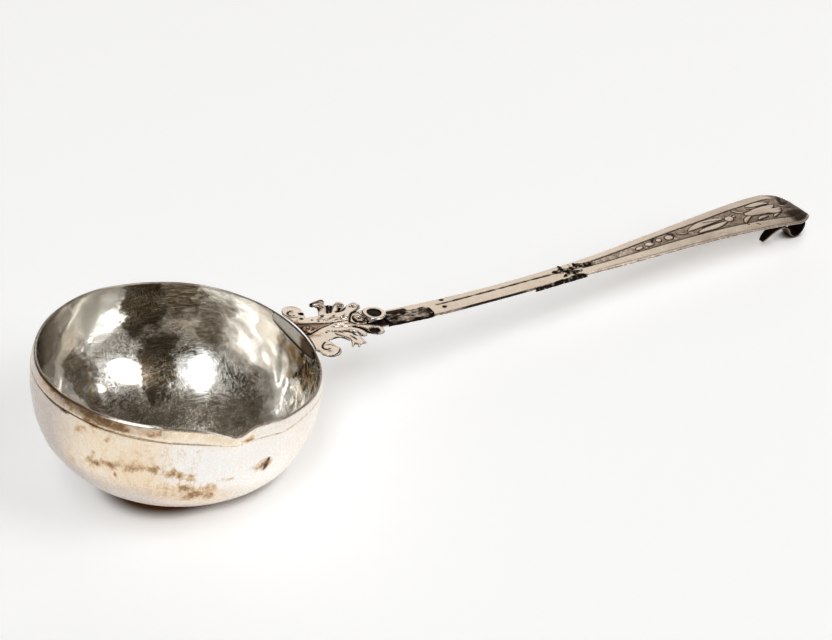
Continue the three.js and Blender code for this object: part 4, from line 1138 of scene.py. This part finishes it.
def handle_piece(name, start, end, step, across, replaced):
    """A length of the handle, as one closed skin: crowned top, rounded edges, flat back."""
    xs = np.arange(start, end + step / 2, step)
    xs[-1] = end
    z, half, slope = (np.interp(xs, LINE_X, values) for values in (LINE_Z, LINE_HALF, LINE_SLOPE))
    thick = np.interp(xs, [36, 135, 240, 258, 266.5], [1.3, 1.3, 0.9, 1.0, 1.5])
    t = np.linspace(-1, 1, across)
    t = np.sign(t) * (1 - (1 - np.abs(t)) ** 1.15)
    wide = half[:, None]
    x = np.repeat(xs[:, None], across, 1)
    v = t * wide
    height, stain, dark, film = handle_relief(x, v, wide)
    rise = crown_height(wide) * (1 - (v / wide) ** 2)
    bevel = 0.14 * (1 - np.clip((wide - np.abs(v)) / 0.18, 0, 1)) ** 2
    above = rise + height - bevel
    up = np.stack([-slope, np.zeros_like(slope), np.ones_like(slope)], 1) / np.sqrt(1 + slope**2)[:, None]
    line = np.stack([xs, np.zeros_like(xs), z], 1)
    top = line[:, None] + up[:, None] * above[..., None]
    top[..., 1] = v
    worn = np.interp(xs, [140, 185, 258, 264], [0.4, 1.0, 1.0, 0.4])
    depths = thick[:, None] * (1 - WORN_EDGE * worn[:, None])
    bottom = line[:, None] - up[:, None] * depths[..., None]
    bottom[..., 1] = wide * LOW_SHARES
    points = np.concatenate([top, bottom], 1)
    side_dark = near_edge_darkness(xs)[:, None]
    low_dark = np.where(LOW_SHARES < 0, side_dark, 0)
    dark[:, :2] = np.maximum(dark[:, :2], 0.8 * side_dark)
    stain[:, 0] = 0.9
    stain[:, 1] = 0.7
    marks = {"stain": np.concatenate([stain, np.full(low_dark.shape, 0.45)], 1),
             "dark": np.concatenate([dark, low_dark], 1),
             "film": np.concatenate([film, np.repeat(film[:, :1], LOW_SHARES.size, 1)], 1)}
    faces = [face[::-1] for face in capped_faces(len(xs), points.shape[1])]
    add_mesh(name, points, faces, HANDLE, replaced, marks)


def near_edge_darkness(xs):
    """How dark the near side of the strip is, mostly in the middle of the stem."""
    run = smoothstep(92, 100, xs) * (1 - smoothstep(118, 126, xs))
    return np.clip(0.85 * run + 0.25 * smoothstep(84, 90, xs) * (1 - smoothstep(126, 132, xs)), 0, 1)


def on_handle(x, v, h):
    """Place h above the handle's plain top at x, and v across; beyond the edges it bends down the sides."""
    z, half, slope = (np.interp(x, LINE_X, values) for values in (LINE_Z, LINE_HALF, LINE_SLOPE))
    over = np.maximum(np.abs(v) - half, 0)
    turn = np.clip(over / BEND, 0, math.pi / 2)
    down = BEND * (1 - np.cos(turn)) + np.maximum(over - BEND * math.pi / 2, 0)
    side = np.minimum(np.abs(v), half) + (BEND + h) * np.sin(turn)
    crown = crown_height(half) * (1 - np.clip(np.abs(v) / half, 0, 1) ** 2)
    level = crown - down + h * np.cos(turn)
    scale = 1 / np.sqrt(1 + slope**2)
    return np.stack([x - slope * scale * level, np.sign(v) * side, z + scale * level], -1)


def repair(name, x_range, v_range, inside, height, replaced, dark, stain, step):
    """A thin plate of old solder on the handle, from functions of the place along and across it."""
    x, v = np.meshgrid(np.arange(*x_range, step), np.arange(*v_range, step))
    shape = inside(x, v)
    top = 0.1 + height(x, v) * rounded(shape, 0.4)
    slab(name, x, v, shape, top, np.full(x.shape, -0.05), on_handle, OLD_SOLDER, replaced,
         {"dark": np.clip(dark(x, v), 0, 1), "stain": np.clip(stain(x, v), 0, 1)})


# Places of the patch that are rubbed bare: middle and size.
BARE_SPOTS = [
    ((72.3, -3.2), (2.4, 1.1)), ((78.2, -3.5), (2.2, 0.6)), ((69.5, 0.55), (3, 0.35)),
    ((82.2, 0), (0.9, 0.5)), ((75.4, 0.2), (1.2, 0.5)), ((74, -1.2), (1.2, 0.4))]
# Runs of the solder joint: corners and radius.
SOLDER_RUNS = [
    ([(140.8, 1.6), (143.2, 2.6), (142.8, 3.9)], 0.5), ([(141.4, 0.7), (147, 0.6), (150, 1.6)], 0.95),
    ([(143.4, 0.4), (144.2, -1.4), (146.2, -2.2)], 0.8), ([(141, -2.6), (143, -1.8)], 0.55),
    ([(149, 2.9), (149.6, 2)], 0.6), ([(150.4, 1.2), (155.4, 0.6)], 0.95),
    ([(146, -1.6), (149.4, -1.9)], 0.5), ([(138.8, 1.6), (141, 1)], 0.55)]


def patch_inside(x, v):
    """How far each place lies inside the patch."""
    far = np.interp(x, [65, 70, 76, 80, 84], [1.5, 1.2, 1.4, 0.9, 0.4]) + 0.35 * lump_noise(x, 0, 5, 1.0)
    end = 83.8 - 0.35 * np.clip(np.abs(v + 1.6) - 1.4, 0, 9) ** 1.5
    return np.minimum(np.minimum(far - v, v + 5.3), np.minimum(end - x, x - 64.6))


def bare_metal(x, v):
    """Share of bare metal on the patch, which leaves the eyelet's shade dull."""
    bare = sum(blot(x, v, at, size) for at, size in BARE_SPOTS)
    return np.clip(1.2 * bare, 0, 1) * smoothstep(2.6, 3.4, np.hypot(x - 71.2, v - 1.4))


def patch_dark(x, v):
    """Dirt of the patch: its edge, uneven waves and a paler olive place."""
    edge = bell(patch_inside(x, v) - 0.4, 0.4)
    olive = blot(x, v, (77.6, -0.4), (3, 2))
    dirt = 0.7 * edge + 0.8 * (0.5 + 0.5 * lump_noise(x, v * 1.6, 3.2, 3.0)) - 0.35 * olive + 0.2
    return dirt * (1 - bare_metal(x, v))


def solder_inside(x, v):
    """How far each place lies inside the solder joint."""
    total = np.full(x.shape, -3.0)
    for corners, width in SOLDER_RUNS:
        d, _ = segment_distance(x, v, corners)
        total = smooth_max(total, width - d, 0.4)
    return total + 0.22 * lump_noise(x, v, 2.2, 5.0)


def splint_inside(x, v):
    """How far each place lies inside the splint on the near edge."""
    reach = np.interp(x, [126.5, 130, 136, 142, 147, 149.5], [-4.0, -4.3, -4.2, -3.9, -3.5, -4.3])
    reach = reach + 0.3 * lump_noise(x, 0, 4, 3.0)
    return np.minimum(np.minimum(reach - v, v + 5.9), np.minimum(x - 126.6, 149.8 - x) * 0.8)


def repairs():
    """The three old repairs of the handle."""
    repair("patch_looks", (64, 84.5), (-5.6, 2.6), patch_inside,
           lambda x, v: 0.3 + 0.14 * lump_noise(x, v, 3, 2.0), ["repair_patch"], patch_dark,
           lambda x, v: (0.35 + 0.5 * lump_noise(x, v, 6, 6.0)) * (1 - 0.8 * bare_metal(x, v)), 0.14)
    repair("solder_looks", (137, 157), (-4.2, 4.4), solder_inside,
           lambda x, v: 0.34 + 0.16 * lump_noise(x, v, 2, 1.0), ["solder_joint"],
           lambda x, v: 0.62 + 0.75 * lump_noise(x, v, 2.0, 3.0),
           lambda x, v: 0.4 + 0.5 * lump_noise(x, v, 5, 6.0), 0.11)
    repair("splint_looks", (126, 150.5), (-6.2, -2.6), splint_inside,
           lambda x, v: 0.3 + 0.18 * lump_noise(x, v, 3, 4.0), ["edge_splint"],
           lambda x, v: 0.8 + 0.4 * lump_noise(x, v, 3, 2.0),
           lambda x, v: np.full(x.shape, 0.3), 0.12)


# Hook.

# Middle of the strip from its land under the tip to its end: x and z.
HOOK_LINE = [
    (256.0, 12.7), (259.0, 11.7), (261.6, 10.2), (263.6, 8.4), (264.6, 6.4), (264.75, 4.4), (263.9, 2.2),
    (262.2, 0.75), (260.4, 0.25), (258.6, 0.8), (257.2, 2.2), (256.3, 4.0), (255.0, 5.6), (252.9, 6.3),
    (250.8, 6.0), (248.8, 5.2), (247.0, 4.1), (245.4, 2.8), (244.2, 1.7)]


def hook():
    """The strip under the tip: a land, a fold, a loop that lies on the table, a rise and a drooping end."""
    line = smooth_line(HOOK_LINE, 150)
    steps = np.hypot(*np.diff(line, axis=0).T)
    run = np.concatenate([[0], np.cumsum(steps)]) / steps.sum()
    heading = np.gradient(line, axis=0)
    heading /= np.hypot(*heading.T)[:, None]
    inward = np.stack([heading[:, 1], -heading[:, 0]], 1)
    widths = np.interp(run, [0, 0.2, 0.5, 0.75, 0.95, 1], [3.8, 3.7, 3.3, 2.8, 1.9, 1.2])
    thicks = np.interp(run, [0, 0.5, 1], [0.95, 0.9, 0.7])
    section = [(squared_off(math.cos(turn), 0.45), 0.5 * squared_off(math.sin(turn), 0.6))
               for turn in around(28)]
    rows = []
    for (px, pz), (nx, nz), width, thick in zip(line, inward, widths, thicks):
        rows.append([(px + nx * thick * (0.5 + b), a * width, pz + nz * thick * (0.5 + b))
                     for a, b in section])
    points = np.array(rows)
    points[..., 2] = np.maximum(points[..., 2], 0)
    side, face = np.array(section).T
    # The oxide is painted darker on the strip's inward faces than on its outward ones, as shade under the
    # handle.
    outward = np.where(face < -0.1, 1.0, 0.0)
    bare = np.clip(-side, 0, 1) ** 4 * (0.35 + 0.65 * smoothstep(0.68, 0.8, run))[:, None]
    dark = np.clip(0.97 - 0.4 * outward - 0.9 * bare, 0, 1)
    stain = np.clip(0.85 * bare + 0.3 * outward, 0, 1)
    add_mesh("hook_looks", points, capped_faces(len(rows), len(section)), OXIDE, ["hook"],
             {"dark": dark, "stain": stain})


# Stage, light and camera.

# The point that the lamps face, and their distance from it, in metres.
AIM = np.array([0.05, 0.0, 0.03])
LAMP_DISTANCE = 6.0
# White of the paper, and what it shows on top of the light that falls on it, because it is overexposed.
PAPER = (0.88, 0.88, 0.88)
PAPER_GLOW = 0.36
# Reach in mm and colour of the painted contact shadow where something touches the paper.
CONTACT_REACH = 6.5
CONTACT_COLOUR = (0.13, 0.055, 0.02)
# Shade under the bowl: its middle on the floor, how much shorter it counts along x, and the radii
# between which it fades, all in mm.
FOOT_MIDDLE = (-13.0, 0.0)
FOOT_SQUEEZE = 0.87
FOOT_RADII = (20.5, 27.5)
# Size of the white floor, from its middle to its edge, in metres.
REACH = 40.0
# Colour of the dark room round the lamps, of the paler ceiling above, and the elevations between them.
ROOM = (0.045, 0.035, 0.022)
CEILING = (0.17, 0.145, 0.11)
CEILING_EDGE = (48, 86)
WHITE = (1.0, 1.0, 1.0)
COOL = (0.92, 0.96, 1.0)
WARM = (1.0, 0.93, 0.82)
# Lamps: name, azimuth and elevation, width and height seen from the aim, all in degrees, then the
# radiance, shape and colour.
LAMPS = [
    ("right_softbox", 140, 37, 25, 40, 4.3, "ELLIPSE", WHITE),
    ("small_softbox", 109, 27, 8, 15, 3.0, "ELLIPSE", WHITE),
    ("left_softbox", -142, 58, 18, 46, 6.6, "ELLIPSE", COOL),
    ("back_softbox", 38, 24, 42, 46, 0.75, "RECTANGLE", WARM),
    ("front_softbox", -165, 4.5, 75, 8, 1.5, "RECTANGLE", WHITE),
]
# The camera: focal length and width of the picture in pixels, sensor in mm, place in metres and axes.
FOCAL_PX = 1400
PICTURE_PX = 832
SENSOR_MM = 36
CAMERA_PLACE = (-0.1279, -0.3390, 0.3150)
CAMERA_RIGHT = (0.8544, -0.5196, 0.0)
CAMERA_UP = (0.3068, 0.5045, 0.8071)
CAMERA_BACK = (-0.4193, -0.6896, 0.5904)


def floor():
    """White paper under the object, with painted contact shadow where the object touches it."""
    mesh = bpy.data.meshes.new("floor")
    corners = [(-REACH, -REACH, 0), (REACH, -REACH, 0), (REACH, REACH, 0), (-REACH, REACH, 0)]
    mesh.from_pydata(corners, [], [(0, 1, 2, 3)])
    thing = bpy.data.objects.new("floor", mesh)
    bpy.context.scene.collection.objects.link(thing)
    n = Nodes("floor")
    n.shader.inputs["Roughness"].default_value = 0.9
    n.shader.inputs["Specular IOR Level"].default_value = 0.1
    shade = n.tree.nodes.new("ShaderNodeAmbientOcclusion")
    shade.samples = 8
    shade.inputs["Distance"].default_value = CONTACT_REACH * MM
    foot = n.tree.nodes.new("ShaderNodeVectorMath")
    foot.operation = "DISTANCE"
    n.link(n.coordinates((FOOT_SQUEEZE, 1, 0)), foot.inputs[0])
    foot.inputs[1].default_value = (FOOT_MIDDLE[0] * FOOT_SQUEEZE * MM, FOOT_MIDDLE[1] * MM, 0)
    under_bowl = n.ramp(foot.outputs["Value"], FOOT_RADII[0] * MM, FOOT_RADII[1] * MM)
    open_share = n.math("MINIMUM", n.ramp(shade.outputs["AO"], 0.3, 0.8), under_bowl)
    n.link(n.mix(open_share, CONTACT_COLOUR, PAPER), n.shader.inputs["Base Color"])
    path = n.tree.nodes.new("ShaderNodeLightPath")
    seen = n.math("MAXIMUM", path.outputs["Is Camera Ray"], path.outputs["Is Glossy Ray"])
    seen = n.math("MAXIMUM", seen, path.outputs["Is Transmission Ray"])
    n.shader.inputs["Emission Color"].default_value = (1, 1, 1, 1)
    n.link(n.times(seen, n.times(open_share, PAPER_GLOW)), n.shader.inputs["Emission Strength"])
    mesh.materials.append(n.material)


def axes_matrix(right, up, back, place):
    """Placement of a lamp or camera from its axes and its place."""
    return Matrix([(right[i], up[i], back[i], place[i]) for i in range(3)] + [(0, 0, 0, 1)])


def facing(azimuth, elevation, distance):
    """Placement of something that faces the aim, at an azimuth from +Y towards +X and an elevation."""
    a, e = math.radians(azimuth), math.radians(elevation)
    back = np.array([math.sin(a) * math.cos(e), math.cos(a) * math.cos(e), math.sin(e)])
    right = np.cross([0, 0, 1], back)
    right /= np.linalg.norm(right)
    return axes_matrix(right, np.cross(back, right), back, AIM + back * distance)


def softbox(name, azimuth, elevation, wide, tall, radiance, shape, colour):
    """Lamp that the camera doesn't see, with a width and height in degrees."""
    width, height = (2 * LAMP_DISTANCE * math.tan(math.radians(angle / 2)) for angle in (wide, tall))
    lamp = bpy.data.lights.new(name, "AREA")
    lamp.shape = shape
    lamp.size, lamp.size_y = width, height
    lamp.energy = radiance * math.pi * width * height * (math.pi / 4 if shape == "ELLIPSE" else 1)
    lamp.color = colour
    thing = bpy.data.objects.new(name, lamp)
    bpy.context.scene.collection.objects.link(thing)
    thing.matrix_world = facing(azimuth, elevation, LAMP_DISTANCE)
    thing.visible_camera = False


def room():
    """Dark room with a paler ceiling."""
    world = bpy.data.worlds.new("studio")
    bpy.context.scene.world = world
    world.use_nodes = True
    nodes, links = world.node_tree.nodes, world.node_tree.links
    place = nodes.new("ShaderNodeTexCoord")
    split = nodes.new("ShaderNodeSeparateXYZ")
    links.new(place.outputs["Generated"], split.inputs[0])
    share = nodes.new("ShaderNodeMapRange")
    share.interpolation_type = "SMOOTHSTEP"
    share.inputs["From Min"].default_value = math.sin(math.radians(CEILING_EDGE[0]))
    share.inputs["From Max"].default_value = math.sin(math.radians(CEILING_EDGE[1]))
    links.new(split.outputs["Z"], share.inputs["Value"])
    mix = nodes.new("ShaderNodeMix")
    mix.data_type = "RGBA"
    low, high = [socket for socket in mix.inputs if socket.type == "RGBA"]
    low.default_value = (*ROOM, 1)
    high.default_value = (*CEILING, 1)
    links.new(share.outputs[0], mix.inputs["Factor"])
    colour = [socket for socket in mix.outputs if socket.type == "RGBA"][0]
    links.new(colour, nodes["Background"].inputs["Color"])


def camera():
    """The photo's camera."""
    data = bpy.data.cameras.new("camera")
    data.sensor_width = SENSOR_MM
    data.sensor_fit = "HORIZONTAL"
    data.lens = FOCAL_PX / PICTURE_PX * SENSOR_MM
    data.clip_start, data.clip_end = 0.01, 100
    thing = bpy.data.objects.new("camera", data)
    bpy.context.scene.collection.objects.link(thing)
    thing.matrix_world = axes_matrix(CAMERA_RIGHT, CAMERA_UP, CAMERA_BACK, CAMERA_PLACE)
    bpy.context.scene.camera = thing
    bpy.context.scene.view_settings.view_transform = "Standard"


bowl()
inner_plate()
bracket()
bud()
eyelet()
handle_piece("stem_looks", 37.0, 146.9, 0.25, 61, ["lower_stem"])
handle_piece("engraved_end_looks", 147.1, 265.9, 0.17, 151, ["upper_handle"])
repairs()
hook()
floor()
for lamp in LAMPS:
    softbox(*lamp)
room()
camera()
